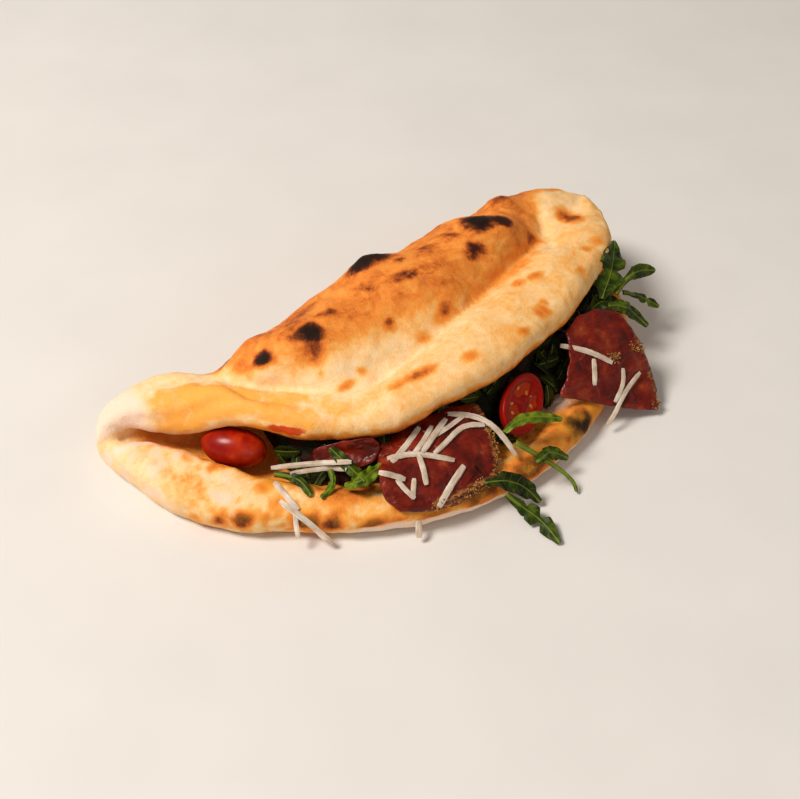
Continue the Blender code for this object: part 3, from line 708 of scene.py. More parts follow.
# %% Finish: wheat crust
def crust_finish():
    material, tree, place = begin(
        "Wood-fired wheat crust", Roughness=0.66, Specular_IOR_Level=0.16,
        Subsurface_Weight=0.08, Subsurface_Scale=0.003)
    bake = add(tree, "Attribute", attribute_name="bake").outputs
    toast, char, stain = add(tree, "SeparateColor", {"Color": bake["Color"]}).outputs
    sauce = add(tree, "Attribute", attribute_name="sauce").outputs["Fac"]
    mottle, freckle, dust = (
        add(tree, "TexNoise", {"Vector": place, "Scale": 1 / (grain * MM), "Detail": detail,
                               "Roughness": rough, "Distortion": swirl})
        for grain, detail, rough, swirl in ((9, 6, 0.66, 0.7), (2.5, 3, 0.6, 0), (0.7, 2, 0.5, 0)))
    uneven = add(tree, "Math", {0: mottle, 1: 0.5}, operation="SUBTRACT")
    # the browner it is, the more the mottling shows
    spread = add(tree, "Math", {0: toast, 1: 0.9, 2: 0.22}, operation="MULTIPLY_ADD")
    heat = add(tree, "Math", {0: uneven, 1: spread, 2: toast}, operation="MULTIPLY_ADD")
    for speck, share in ((freckle, 0.24), (dust, 0.10)):
        speck = add(tree, "Math", {0: speck, 1: share, 2: -share / 2}, operation="MULTIPLY_ADD")
        heat = add(tree, "Math", {0: heat, 1: speck})
    colour = add(tree, "ValToRGB", {0: heat}, (
        (0.00, "F9E2C2"), (0.14, "F9D5A2"), (0.28, "F7C078"), (0.42, "F0A048"),
        (0.55, "EA8A36"), (0.68, "D27028"), (0.80, "98481A"), (0.92, "4E210C")))
    burnt = add(tree, "Math", {0: freckle, 1: 0.34, 2: -0.17}, operation="MULTIPLY_ADD")
    burnt = add(tree, "Math", {0: burnt, 1: char})
    for value, mottling, low, high, most, code in (
        (stain, 1.6, 0.25, 1.0, 0.85, "F9A734"),            # saffron orange of oil and tomato
        (bake["Alpha"], 1.3, 0.18, 0.9, 0.88, "F8D9C4"),    # pale dough
        (sauce, 1.2, 0.3, 0.55, 0.95, "D2400A"),            # a smear of tomato sauce
        (burnt, 0.4, 0.24, 0.98, 0.98, "1C0B04"),           # char
    ):
        value = add(tree, "Math", {0: uneven, 1: mottling, 2: value}, operation="MULTIPLY_ADD")
        colour, _ = layered(tree, colour, code, value, low, high, 0.0, most)
    height = add(tree, "Math", {0: freckle, 1: 0.6, 2: dust}, operation="MULTIPLY_ADD")
    bump = add(tree, "Bump", {"Strength": 0.5, "Distance": 0.5 * MM, "Height": height})
    shade(tree, Base_Color=colour, Normal=bump)
    return material


crust.data.materials.append(crust_finish())
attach(crust, "root")
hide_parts("dough")

# %% [markdown]
# ## Laying soft things on the fold
# Slices and leaves lie on whatever is under them. Each starts as a small net of points read
# along the real piece, and `settle` pushes those points out of the solids round them, calms
# the net, and tests a trial sheet until it crosses nothing. The obstacles are the packed
# solids, so each piece comes to rest where its solid does.

# %% Obstacles and nets
OPEN_SIDE = Vector((-0.35, -0.59, 0.72))     # out of the fold's mouth and up
HAM_THICK = 1.6
LEAF_THICK = 0.8
NEAR = 8.0                                   # how close a solid must be to matter, mm
PUSHES, NUDGE = 26, 0.4                      # most pushes of a point, and the length of each
TURNS, CALM_TURNS = 24, 9                    # most turns of settling; the first ones calm too
CLEARANCE = 0.5                              # how much thicker the trial sheet is


def tree_of(thing):
    """A search tree of an object's faces, in millimetres."""
    points = [v.co / MM for v in thing.data.vertices]
    return BVHTree.FromPolygons(points, [tuple(p.vertices) for p in thing.data.polygons])


TREES = {name: tree_of(thing) for name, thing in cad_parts.items()}


def around(names, grid):
    """The search trees of the named solids that come near a grid of points."""
    low, high = grid.min((0, 1)) - NEAR, grid.max((0, 1)) + NEAR
    found = []
    for name in names:
        a, b = (np.array(corner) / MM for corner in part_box(name))
        if (a < high).all() and (b > low).all():
            found.append(TREES[name])
    return found


def depth(p, tree):
    """How far a place is outside a solid, less than nought when it is inside."""
    co, face, _, far = tree.find_nearest(p)
    return -far if far < 15 and (p - co).dot(face) < -0.3 * far else far


def push(p, trees, gap):
    """Moves a place out of the solids: towards the open side first, or else the short way."""
    start = Vector(p)
    for step in range(PUSHES):
        p = start + OPEN_SIDE * (NUDGE * step)
        if p.z >= gap and min(depth(p, tree) for tree in trees) >= gap:
            return p
    p = start
    for tree in trees:
        if depth(p, tree) < gap:
            co, face, _, far = tree.find_nearest(p)
            away = face if depth(p, tree) < 0 or far < 0.05 else (p - co).normalized()
            p = co + away * gap
    p.z = max(p.z, gap)
    return p


def surface(net, across, along):
    """A smooth grid of points through a net of points."""
    rows = np.array([spline(row, [across] * (len(row) - 1)) for row in net])
    return np.array([spline(rows[:, i], [along] * (len(net) - 1)) for i in range(rows.shape[1])])


def facing_of(grid):
    """The unit normal at each point of a grid."""
    face = np.cross(np.gradient(grid, axis=0), np.gradient(grid, axis=1))
    return face / np.maximum(np.linalg.norm(face, axis=2), 1e-9)[..., None]


def twice(value):
    """A value for both faces of a thin sheet."""
    return np.concatenate([value.ravel()] * 2)


def sheet_mesh(grid, thick):
    """Points and faces of a closed thin sheet, thinner towards its edges."""
    n, m = grid.shape[:2]
    thick = np.broadcast_to(thick, (n, m))[..., None]
    half = facing_of(grid) * thick / 2
    points = np.vstack([(grid + half).reshape(-1, 3), (grid - half).reshape(-1, 3)])
    faces = []
    for i in range(n - 1):
        for j in range(m - 1):
            a, b, c, d = i * m + j, (i + 1) * m + j, (i + 1) * m + j + 1, i * m + j + 1
            faces.append((a, b, c, d))
            faces.append(tuple(k + n * m for k in (d, c, b, a)))
    edge = [(i, 0) for i in range(n)] + [(n - 1, j) for j in range(1, m)]
    edge += [(i, m - 1) for i in range(n - 2, -1, -1)] + [(0, j) for j in range(m - 2, 0, -1)]
    for (a, b), (c, d) in zip(edge, edge[1:] + edge[:1]):
        here, there = a * m + b, c * m + d
        faces.append((there, here, here + n * m, there + n * m))
    return points, faces


def settle(grid, trees, gap, thick):
    """Lays a grid of points on the solids round it, so that a sheet along it crosses none."""
    grid = grid.copy()
    n, m = grid.shape[:2]
    for turn in range(TURNS):
        for i in range(n):
            for j in range(m):
                grid[i, j] = push(grid[i, j], trees, gap)
        if turn < CALM_TURNS:
            calm = grid.copy()
            calm[1:-1] += 0.25 * (grid[:-2] + grid[2:] - 2 * grid[1:-1])
            calm[:, 1:-1] += 0.25 * (grid[:, :-2] + grid[:, 2:] - 2 * grid[:, 1:-1])
            grid = calm
            continue
        points, faces = sheet_mesh(grid, thick + CLEARANCE)
        own = BVHTree.FromPolygons([Vector(p) for p in points], faces)
        hit = {face for tree in trees for face, _ in own.overlap(tree)}
        moved = {v % (n * m) for face in hit for v in faces[face]}
        if not moved:
            break
        for v in moved:
            grid[v // m, v % m] += np.array(OPEN_SIDE) * NUDGE
    return grid


print("search trees:", len(TREES))

# %% [markdown]
# ## Slices of cured beef
# Air-dried beef is cut thinner than 2 mm. It is deep red and slightly see-through, with a
# darker, browner rim where herbs and salt cured the outside. The slice could be cloth, but
# a settled net, with its edge rolled a little, gives the same drape and stays where the solid is.

# %% The nets of the slices
HAM = (
    ("ham_front", (
        ((-38, -30, 24), (-20, -28, 29), (-2, -29, 31), (13, -33, 30)),
        ((-43, -41, 22), (-24, -42, 28), (-4, -43, 29), (12, -44, 28)),
        ((-46, -50, 17), (-28, -54, 22), (-9, -54, 24), (12, -52, 21)),
        ((-45, -55, 14), (-29, -62, 15), (-11, -63, 17), (8, -60, 15)),
        ((-42, -58, 12), (-27, -66, 9), (-12, -67, 11), (4, -63, 12)),
    ), (1, 1, 1), 0.2),
    ("ham_right", (
        ((66, -20, 36), (78, -13, 39), (90, -14, 39), (98, -20, 35)),
        ((64, -27, 34), (78, -27, 35), (91, -26, 33), (103, -31, 26)),
        ((60, -34, 30), (76, -37, 27), (88, -39, 23), (106, -38, 15)),
        ((54, -39, 24), (70, -43, 19), (84, -47, 12), (103, -48, 7)),
        ((49, -41, 21), (66, -46, 15), (81, -52, 6), (99, -57, 2.5)),
    ), (0, 0.6, 0), 0),
    ("ham_inner", (
        ((-62, -17, 24), (-48, -25, 27), (-34, -30, 29)),
        ((-63, -21, 20), (-49, -30, 23), (-36, -35, 26)),
        ((-62, -26, 17), (-50, -35, 19), (-39, -38, 22)),
    ), (0, 0, 0), 0.6),
)
BASE_NODES = ["dough", "filling", "tomato_whole", "tomato_cut"]


def reread(grid, down, across):
    """Reads a grid of points at other places, each given as a share down it and across it."""
    n, m = grid.shape[:2]
    a, b = np.clip(down, 0, 1) * (m - 1), np.clip(across, 0, 1) * (n - 1)
    i, j = np.minimum(b.astype(int), n - 2), np.minimum(a.astype(int), m - 2)
    s, t = (b - i)[..., None], (a - j)[..., None]
    before = grid[i, j] * (1 - t) + grid[i, j + 1] * t
    after = grid[i + 1, j] * (1 - t) + grid[i + 1, j + 1] * t
    return before * (1 - s) + after * s


def slice_of_beef(name, net, rounded, below):
    """A settled slice: its fine grid of points, ready for a mesh and for what lies on it."""
    grid = surface(net, 3, 3)
    grid = settle(grid, around(below, grid), HAM_THICK / 2 + 0.5, HAM_THICK)
    grid = surface(np.transpose(grid, (1, 0, 2)), 4, 4)
    n, m = grid.shape[:2]
    u, v = np.meshgrid(np.linspace(0, 1, m), np.linspace(0, 1, n))
    a, b = 2 * u - 1, 2 * v - 1
    torn = 1 + grain_of(grid.reshape(-1, 3), 3.2, 14).reshape(n, m)
    torn = 1 - 0.035 * torn * np.maximum(abs(a), abs(b)) ** 6
    down = a * np.sqrt(1 - rounded * b * b / 2) * torn
    across = b * np.sqrt(1 - rounded * a * a / 2) * torn
    grid = reread(grid, (down + 1) / 2, (across + 1) / 2)
    width = np.linalg.norm(grid[0, 0] - grid[-1, 0])
    height = np.linalg.norm(grid[0, 0] - grid[0, -1])
    return grid, u, v, width, height


beef_grids = {}
below = list(BASE_NODES)
for name, net, _, rounded in HAM:
    beef_grids[name] = slice_of_beef(name, net, rounded, below)
    below.append(name)
    print(name, "grid", beef_grids[name][0].shape[:2])

# %% The slices' meshes
def beef_mesh(name, crusted):
    grid, u, v, width, height = beef_grids[name]
    left, right, low = crusted
    n, m = grid.shape[:2]
    # v runs across the slice and u down it
    rim = np.maximum(low * ramp(u, 1 - 9 / height, 1 - 2 / height),
                     right * ramp(v, 1 - 6 / width, 1))
    rim *= 1 - left * ramp(0.42 - v, 0.0, 0.2)
    edge = np.minimum(np.minimum(u, 1 - u) * height, np.minimum(v, 1 - v) * width)
    flat = grid.reshape(-1, 3)
    ripple = 1.3 * grain_of(flat, 9, 11) + 0.5 * grain_of(flat, 3.4, 12)
    ripple += 0.5 * rim.ravel() * grain_of(flat, 2.2, 13)
    face = facing_of(grid)
    grid = grid + face * ripple.reshape(n, m)[..., None] * 0.7
    # the curled edge: a soft bead along the slice's left and lower left sides
    curl = left * np.maximum(swell(v * width, 2.4, 1.7) * ramp(edge, 0.0, 1.6),
                             swell((1 - u) * height, 2.4, 1.7) * ramp(0.5 - v, 0.0, 0.3))
    outward = np.sign((face @ np.array(OPEN_SIDE)).mean())
    grid = grid + 0.5 * outward * face * curl[..., None]
    thick = 0.35 + 0.95 * ramp(edge, 0.0, 1.6) + 0.5 * rim + curl
    points, faces = sheet_mesh(grid, thick)
    uv = np.column_stack([twice(v), twice(u)])
    return build(name.replace("ham", "beef"), points, faces, {"rim": twice(rim)}, uv)


beef = {name: beef_mesh(name, crusted) for name, _, crusted, _ in HAM}
print({name: face_total(thing) for name, thing in beef.items()})

# %% [markdown]
# The muscle shows as fibres 1.6 mm apart with paler fat flecks between them. Light goes
# a few millimetres into it, so it glows where it is thin, and the cut face is moist, with
# a soft shine. The cured rim is brown and rough, with golden crumbs of spice.

# %% Finish: cured beef
def beef_finish():
    material, tree, place = begin(
        "Air-dried cured beef", Roughness=0.3, Specular_IOR_Level=0.28, Subsurface_Weight=0.15,
        Subsurface_Scale=0.003, Subsurface_Radius=(1.0, 0.22, 0.12))
    turned = add(tree, "Mapping", {
        "Vector": place, "Rotation": (0.3, 0.5, 0.7), "Scale": (0.35, 1.0, 1.0)})
    fibre, fat, patch, folds = (
        add(tree, "TexNoise", {"Vector": where, "Scale": 1 / (grain * MM), "Detail": detail,
                               "Roughness": rough, "Distortion": swirl})
        for where, grain, detail, rough, swirl in (
            (turned, 1.6, 3, 0.6, 0), (turned, 3.2, 4, 0.7, 0.6),
            (place, 11, 3, 0.55, 0), (place, 7, 1, 0.5, 0.9)))
    rim = add(tree, "Attribute", attribute_name="rim").outputs["Fac"]
    rough = add(tree, "Math", {0: fibre, 1: 0.8, 2: rim}, operation="MULTIPLY_ADD")
    meat = add(tree, "ValToRGB", {0: patch}, (
        (0.30, "460A03"), (0.44, "681406"), (0.56, "801C08"), (0.68, "9A3A12"),
        (0.82, "B4642C")))
    meat, _ = layered(tree, meat, "420D05", fibre, 0.40, 0.62, 0.3, 0.0)
    meat, _ = layered(tree, meat, "B87C60", fat, 0.62, 0.76, 0.0, 0.45)
    spice = add(tree, "ValToRGB", {0: fibre}, (
        (0.35, "3F1A0C"), (0.50, "7A4420"), (0.64, "B07A3C"), (0.78, "D9AE6C")))
    colour, cured = layered(tree, meat, spice, rough, 0.75, 1.15, 0.0, 0.95)
    moist = add(tree, "MapRange", {0: patch, 1: 0.35, 2: 0.65, 3: 0.24, 4: 0.4})
    dull = add(tree, "Mix", {0: cured, 2: moist, 3: 0.7})
    height = add(tree, "Math", {0: folds, 1: 8.0, 2: fibre}, operation="MULTIPLY_ADD")
    bump = add(tree, "Bump", {"Strength": 0.8, "Distance": 0.3 * MM, "Height": height})
    shade(tree, Base_Color=colour, Roughness=dull, Normal=bump)
    return material


cured_beef = beef_finish()
for name, thing in beef.items():
    thing.data.materials.append(cured_beef)
    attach(thing, "root")
    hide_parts(name)

# %% [markdown]
# ## Tomatoes
# One whole cherry tomato sits in the left of the fold and one half shows its cut side in the
# middle. The whole one is a ball stretched along one axis, a little flat on its flanks. The
# half is turned: skin, then a wall, then hollows of wet gel with seeds in them.

# %% The whole tomato
WHOLE_PLACE, WHOLE_SIZE = (-86, 5, 16.3), (14.5, 8.7, 8.7)
WHOLE_SPIN = math.radians(-44)


def whole_tomato():
    turns, rings = 64, 40
    points, faces = [(0, 0, 1)], []
    for r in range(1, rings):
        a = math.pi * r / rings
        for k in range(turns):
            b = 2 * math.pi * k / turns
            points.append((math.sin(a) * math.cos(b), math.sin(a) * math.sin(b), math.cos(a)))
    points.append((0, 0, -1))
    points = np.array(points)
    last = len(points) - 1
    for k in range(turns):
        j = (k + 1) % turns
        faces.append((0, 1 + k, 1 + j))
        faces.append((last, last - turns + j, last - turns + k))
        for r in range(rings - 2):
            a, b = 1 + r * turns, 1 + (r + 1) * turns
            faces.append((a + k, b + k, b + j, a + j))
    shape = 1 + 0.02 * grain_of(points, 0.9, 21)
    shape -= 0.13 * np.exp(-(1 - points[:, 2]) / 0.015)
    turn = Matrix.Rotation(WHOLE_SPIN, 3, "Z") @ Matrix.Diagonal(WHOLE_SIZE)
    turn = turn @ Matrix.Rotation(math.pi / 2, 3, "Y")
    return build("tomato_left", points * shape[:, None] @ np.array(turn).T + WHOLE_PLACE, faces)


tomato = whole_tomato()
print("whole tomato triangles:", face_total(tomato))

# %% The cut tomato
HALF_PLACE, HALF_SIZE = (31, -42, 26.5), (16, 11, 8)
HALF_LONG = (0.9, 0.1, 0.45)
FACING = np.array(Vector((0.35, -0.72, 0.6)).normalized())
HALF_U = HALF_LONG - FACING * (FACING @ HALF_LONG)
HALF_U /= np.linalg.norm(HALF_U)
HALF_V = np.cross(FACING, HALF_U)
AROUND = 72              # points round each ring of the half


def half_place(turn, share, height):
    """A place round the half, as a share of its size, at a height over its cut face."""
    spoke = HALF_U * HALF_SIZE[0] * math.cos(turn) + HALF_V * HALF_SIZE[1] * math.sin(turn)
    return HALF_PLACE + spoke * share + FACING * height


def cut_tomato():
    """Skin, wall and gel hollows as one turned skin; the value wet marks the gel."""
    # rings from the middle of the cut face out: share of the half's size, height, gel
    inner = [
        (0.02, -0.6, 0.3), (0.12, -0.6, 0.4), (0.25, -0.8, 0.6), (0.38, -1, 1), (0.5, -1.1, 1),
        (0.62, -1, 0.9), (0.72, -0.7, 0.6), (0.78, -0.4, 0.2), (0.82, -0.2, 0), (0.88, 0, 0),
        (0.94, 0, 0), (0.98, -0.2, 0),
    ]
    outer = [(math.cos(math.radians(a)), -HALF_SIZE[2] * math.sin(math.radians(a)) - 0.4, -1.0)
             for a in (3, 10, 18, 28, 38, 50, 61, 72, 81)]
    points, kind = [], []
    for share, deep, wet in inner + outer:
        for k in range(AROUND):
            turn = 2 * math.pi * k / AROUND
            spoke = 0.5 + 0.5 * math.cos(3 * turn + 0.6)
            fade = max(0.0, 1 - abs(share - 0.45) / 0.4) if wet >= 0 else 0.0
            rise = 0.8 * fade * spoke ** 6
            points.append(half_place(turn, share, deep + rise))
            kind.append(wet if wet < 0 else wet * (1 - spoke ** 6))
    thing = build("tomato_half", points, tube(len(inner) + len(outer), AROUND), {"wet": kind})
    turned_out(thing.data)
    return thing


half = cut_tomato()
print("cut tomato triangles:", face_total(half))

# %% Tomato seeds
def seeds():
    """Flat pips in the gel, each a stretched ball, on a rule of turns."""
    mesh = bmesh.new()
    rng = random.Random(5)
    facing = Vector(FACING).to_track_quat("Z", "Y").to_matrix().to_4x4()
    for k in range(7):
        place = half_place(2.4 * k + 0.3, 0.36 + 0.3 * ((k * 0.618) % 1), -0.75)
        spin = Matrix.Translation(Vector(place)) @ facing
        spin = spin @ Matrix.Rotation(rng.uniform(0, 6.28), 4, "Z")
        spin = spin @ Matrix.Rotation(rng.uniform(-0.4, 0.4), 4, "X")
        spin = spin @ Matrix.Diagonal((1.15, 0.75, 0.4, 1))
        bmesh.ops.create_icosphere(mesh, subdivisions=2, radius=1.0, matrix=spin)
    return build("tomato_seeds", *points_and_faces(mesh))


pips = seeds()
print("seeds triangles:", face_total(pips))

# %% [markdown]
# Ripe tomato skin is a clear waxy film over red flesh: smooth and shining, with light
# scattered inside. The cut flesh shines less, the gel is darker, and the seeds are honey
# yellow.

# %% Finish: tomato
def skin_finish():
    material, tree, place = speckled(
        "Ripe cherry tomato skin", 7, ((0.30, "7C0C02"), (0.50, "981604"), (0.72, "B83008")), 3.0,
        Roughness=0.27, Specular_IOR_Level=0.26, Subsurface_Weight=0.15,
        Subsurface_Scale=0.003, Subsurface_Radius=(1.0, 0.25, 0.1))
    pores = add(tree, "TexNoise", {"Vector": place, "Scale": 1 / (0.8 * MM), "Detail": 1.0})
    bump = add(tree, "Bump", {"Strength": 0.06, "Distance": 0.1 * MM, "Height": pores})
    shade(tree, Normal=bump)
    return material


def flesh_finish():
    material, tree, place = begin(
        "Cut tomato flesh", Roughness=0.34, Specular_IOR_Level=0.12,
        Subsurface_Weight=0.2, Subsurface_Scale=0.003)
    wet = add(tree, "Attribute", attribute_name="wet").outputs["Fac"]
    patch = add(tree, "TexNoise", {"Vector": place, "Scale": 1 / (2.5 * MM), "Detail": 4.0})
    mixed = add(tree, "Math", {0: patch, 1: 0.5, 2: wet}, operation="MULTIPLY_ADD")
    colour = add(tree, "ValToRGB", {0: mixed}, (
        (0.10, "860E02"), (0.30, "A01403"), (0.60, "960F02"), (0.90, "840A01"),
        (1.00, "B43006")))
    bump = add(tree, "Bump", {"Strength": 0.3, "Distance": 0.4 * MM, "Height": patch})
    shade(tree, Base_Color=colour, Normal=bump)
    return material


tomato.data.materials.append(skin_finish())
half.data.materials.append(flesh_finish())
pips.data.materials.append(speckled(
    "Tomato seed", 0.9, ((0.35, "C05A12"), (0.65, "DE8C2C")),
    Roughness=0.35, Subsurface_Weight=0.2)[0])
for thing in (tomato, half, pips):
    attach(thing, "root")
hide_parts("tomato_whole")
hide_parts("tomato_cut")

# %% [markdown]
# ## Rocket
# Rocket leaves are long, with a pale juicy midrib and deep round lobes. A leaf is a grid
# bent along a path: the lobes come from a wave in its width, the blade is cupped and
# ruffled, and the grid remembers how far each point is from the midrib, so that the veins
# can be coloured. Each leaf starts from its settled solid's net and adds the lobes to it.

# %% The leaves' paths
LEAVES = (
    # name, path, half width, lobes, bare stalk's share, roll, the fine leaf's lobes and notches
    ("left_blade", ((-55, -25, 27), (-52, -33, 23), (-48, -42, 19)), 3.4, 0, 0, 0.2, 1, 0.2),
    ("left_wide", ((-56, -40, 18), (-48, -42, 20), (-40, -42, 25)), 5.5, 1, 0.2, 0.2, 2, 0.35),
    ("left_sprig", ((-58, -30, 20), (-60, -37, 18), (-67, -39, 16)), 2.6, 1, 0.2, 0, 2, 0.5),
    ("left_stalk", ((-79, -20, 19), (-71, -27, 19), (-70, -36, 16)), 2.8, 0, 0.35, 0, 1, 0.3),
    ("front_fold", ((14, -52, 26), (22, -50, 30), (33, -54, 28), (42, -55, 23)),
     5.5, 1, 0, 0.5, 2, 0.35),
    ("front_stalk", ((16, -58, 24), (28, -66, 14), (39, -75, 4), (36, -78, 1.5)),
     1.3, 0, 0.6, 0, 0, 0),
    ("front_wing", ((22, -66, 16), (31, -63, 16), (39, -66, 10)), 6.5, 1, 0.1, 0.3, 2, 0.5),
    ("front_dark", ((-4, -66, 17), (6, -68, 17), (15, -72, 9), (18, -76, 3)),
     8.5, 1, 0, 0.2, 3, 0.45),
    ("front_tip", ((3, -72, 12), (8, -78, 5), (14, -84, 3), (13, -98, 1.5)),
     6.5, 2, 0.25, 0, 3, 0.7),
    ("right_top", ((96, -9, 36), (108, 2, 41), (119, 14, 46)), 10, 2, 0, 0, 3, 0.45),
    ("right_round", ((104, -9, 36), (120, -1, 38), (134, -1, 33)), 5.5, 0, 0.5, 0, 0, 0),
    ("right_sprig", ((113, -4, 30), (124, -6, 24), (132, -10, 18)), 3.5, 2, 0.3, 0.4, 3, 0.6),
    ("right_broad", ((90, -10, 33), (99, -8, 34), (108, -14, 27)), 8.5, 1, 0, 0.2, 2, 0.3),
    ("right_low", ((98, -12, 33), (108, -12, 29), (118, -19, 18)), 6, 1, 0, 0, 2, 0.4),
)
LEAF_STEPS = 10
FINE_ALONG, FINE_ACROSS = 56, 20


def leaf_half_width(t, width, lobes, bare):
    blade = max(t - bare, 0.0) / (1 - bare)
    shape = math.sin(math.pi * blade ** 0.8) ** 0.6 if 0 < blade < 0.999 else 0.0
    return max(width * shape * (0.62 + 0.38 * math.cos(2 * math.pi * lobes * (1 - blade))), 0.8)


def leaf_net(path, width, lobes, bare, roll):
    """The coarse net of a leaf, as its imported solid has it."""
    path = np.array(path, float)
    line = spline(path, [LEAF_STEPS // (len(path) - 1)] * (len(path) - 1))
    along = np.gradient(line, axis=0)
    along /= np.linalg.norm(along, axis=1)[:, None]
    grid = []
    for i, (p, a) in enumerate(zip(line, along)):
        t = i / (len(line) - 1)
        across = np.cross(a, np.array(OPEN_SIDE))
        across /= np.linalg.norm(across)
        lift = np.cross(across, a)
        turn = roll + 0.25 * math.sin(5 * t)
        side = across * math.cos(turn) + lift * math.sin(turn)
        lift = lift * math.cos(turn) - across * math.sin(turn)
        half = leaf_half_width(t, width, lobes, bare)
        bend = 0.16 * half * math.sin(6 * t)
        grid.append([p + side * half * u + lift * (abs(u) * bend - 0.1 * half * u * u)
                     for u in (-1, -0.5, 0, 0.5, 1)])
    return np.array(grid)


def on_net(grid, t, u):
    """A place on a net, past its long edges too, at t along it and u across it."""
    n, m = grid.shape[:2]
    a = min(int(t * (n - 1)), n - 2)
    share = t * (n - 1) - a
    row = blend(grid[a], grid[a + 1], share)
    b = min(max(int((u + 1) / 2 * (m - 1)), 0), m - 2)
    return blend(row[b], row[b + 1], (u + 1) / 2 * (m - 1) - b)


# %% Fine leaves
def fine_leaf(name, number, path, width, lobes, bare, roll, fine_lobes, notch, below):
    net = leaf_net(path, width, lobes, bare, roll)
    net = settle(net, around(below, net), LEAF_THICK / 2 + 0.4, LEAF_THICK)
    smooth = surface(np.transpose(net, (1, 0, 2)), 4, 1)
    rng = random.Random(number)
    phase = rng.uniform(-0.15, 0.15)
    rows, ribs = [], []
    for i in range(FINE_ALONG + 1):
        t = i / FINE_ALONG
        coarse = leaf_half_width(t, width, lobes, bare)
        blade = min(max((t - bare) / (1 - bare), 0.0), 1.0)
        full = 0.0
        if 0 < blade < 1:
            full = 1.12 * width * math.sin(math.pi * min(blade ** 0.75, 1.0)) ** 0.5
        row = []
        for j in range(FINE_ACROSS + 1):
            u = 2 * j / FINE_ACROSS - 1
            shift = phase if u < 0 else -phase
            wave = 0.5 + 0.5 * math.cos(2 * math.pi * (fine_lobes + shift) * (1 - blade))
            half = full * (1 - notch * (1 - wave ** 0.5) * (1 - 0.55 * blade ** 3))
            half = max(half, 0.7 + 0.5 * (1 - t))
            row.append(on_net(smooth, t, min(max(u * half / coarse, -1.5), 1.5)))
        rows.append(row)
        ribs.append(0.95 - 0.65 * min(full / width * 1.6, 1.0))
    grid = np.array(rows)
    n, m = grid.shape[:2]
    u, t = np.meshgrid(np.linspace(-1, 1, m), np.linspace(0, 1, n))
    face = facing_of(grid)
    reach = np.linalg.norm(grid - grid[:, m // 2:m // 2 + 1], axis=2)
    ruffle = 0.2 * reach * np.sin(t * 26 + 3 * np.sign(u) + number)
    ruffle -= 0.35 * np.exp(-(reach / 0.7) ** 2)
    grid = grid + face * ruffle[..., None]
    rib = reach / np.array(ribs)[:, None]
    thick = 0.3 + 0.55 * np.exp(-rib ** 2) * (1 - 0.6 * t)
    points, faces = sheet_mesh(grid, thick)
    uv = np.column_stack([twice(t), twice(u)])
    return build("leaf_" + name, points, faces, {"rib": twice(rib)}, uv)


leaves = {}
for number, (name, *shape) in enumerate(LEAVES):
    leaves[name] = fine_leaf(name, number, *shape, below)
    below.append("rocket_" + name)
print("leaves:", len(leaves), "triangles:", sum(face_total(thing) for thing in leaves.values()))

# %% [markdown]
# A rocket leaf is dark olive green above, with a paler midrib about 1 mm wide and finer side
# veins every 3 to 5 mm. It is waxy, so it has a soft broad shine, and thin enough to let some
# light through. Young leaves are lighter and yellower; a darker copy is painted shade.

# %% Finish: rocket
def leaf_finish():
    material, tree, place = speckled(
        "Rocket leaf", 5,
        ((0.28, "172303"), (0.46, "2A3B04"), (0.60, "465607"), (0.76, "6C7C12")), 3.0,
        Roughness=0.46, Specular_IOR_Level=0.17, Subsurface_Weight=0.06, Subsurface_Scale=0.001)
    colour = tree.nodes["Color Ramp"]
    cells = add(tree, "TexNoise", {"Vector": place, "Scale": 1 / (0.7 * MM), "Detail": 2.0})
    rib = add(tree, "Attribute", attribute_name="rib").outputs["Fac"]
    # side veins: a wave along the leaf, slanted by the distance from the midrib
    uv = add(tree, "SeparateXYZ", {0: place.node.outputs["UV"]}).outputs
    away = add(tree, "Math", {0: uv[1]}, operation="ABSOLUTE")
    slant = add(tree, "Math", {0: away, 1: -0.10, 2: uv[0]}, operation="MULTIPLY_ADD")
    wave = add(tree, "Math", {0: slant, 1: 2 * math.pi * 9}, operation="MULTIPLY")
    wave = add(tree, "Math", {0: wave}, operation="SINE")
    colour, vein = layered(tree, colour, "566414", wave, 0.90, 1.0, 0.0, 0.5)
    colour, _ = layered(tree, colour, "76842A", rib, 0.3, 0.9, 0.75, 0.0)
    height = add(tree, "Math", {0: cells, 1: 0.4, 2: vein}, operation="MULTIPLY_ADD")
    bump = add(tree, "Bump", {"Strength": 0.4, "Distance": 0.2 * MM, "Height": height})
    shade(tree, Base_Color=colour, Normal=bump)
    return material


def tinted(material, name, codes):
    """A copy of a finish with other colours in its ramp."""
    other = material.copy()
    other.name = name
    for node in other.node_tree.nodes:
        if node.bl_idname == "ShaderNodeValToRGB":
            for element, code in zip(node.color_ramp.elements, codes):
                element.color = linear(code)
    return other


rocket = leaf_finish()
young_rocket = tinted(rocket, "Young rocket leaf", ("2C3C06", "4A5E0A", "6F8216", "95A02E"))
# painted shade: a darker copy of the leaf finish, for the leaf front_dark, which lies in shadow
rocket_painted_shade = tinted(rocket, "Old rocket leaf", ("0E1602", "1C2803", "303E06", "4C5A0E"))
TINTS = {"left_wide": young_rocket, "left_sprig": young_rocket, "front_fold": young_rocket,
         "front_stalk": young_rocket, "front_dark": rocket_painted_shade}
for name, thing in leaves.items():
    thing.data.materials.append(TINTS.get(name, rocket))
    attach(thing, "root")
    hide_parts("rocket_" + name)

# %% [markdown]
# ## The heap in the mouth of the fold
# Behind the pieces that show lies a heap of leaves and scraps in deep shade. Its core
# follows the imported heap, and over its open face Geometry Nodes scatter small leaf scraps,
# turned at random and laid along the surface.

# %% The heap's core
HEAP_GAP = 2.0
HEAP_LEFT, HEAP_RIGHT = -68.0, 118.0
HEAP_STATIONS = 120


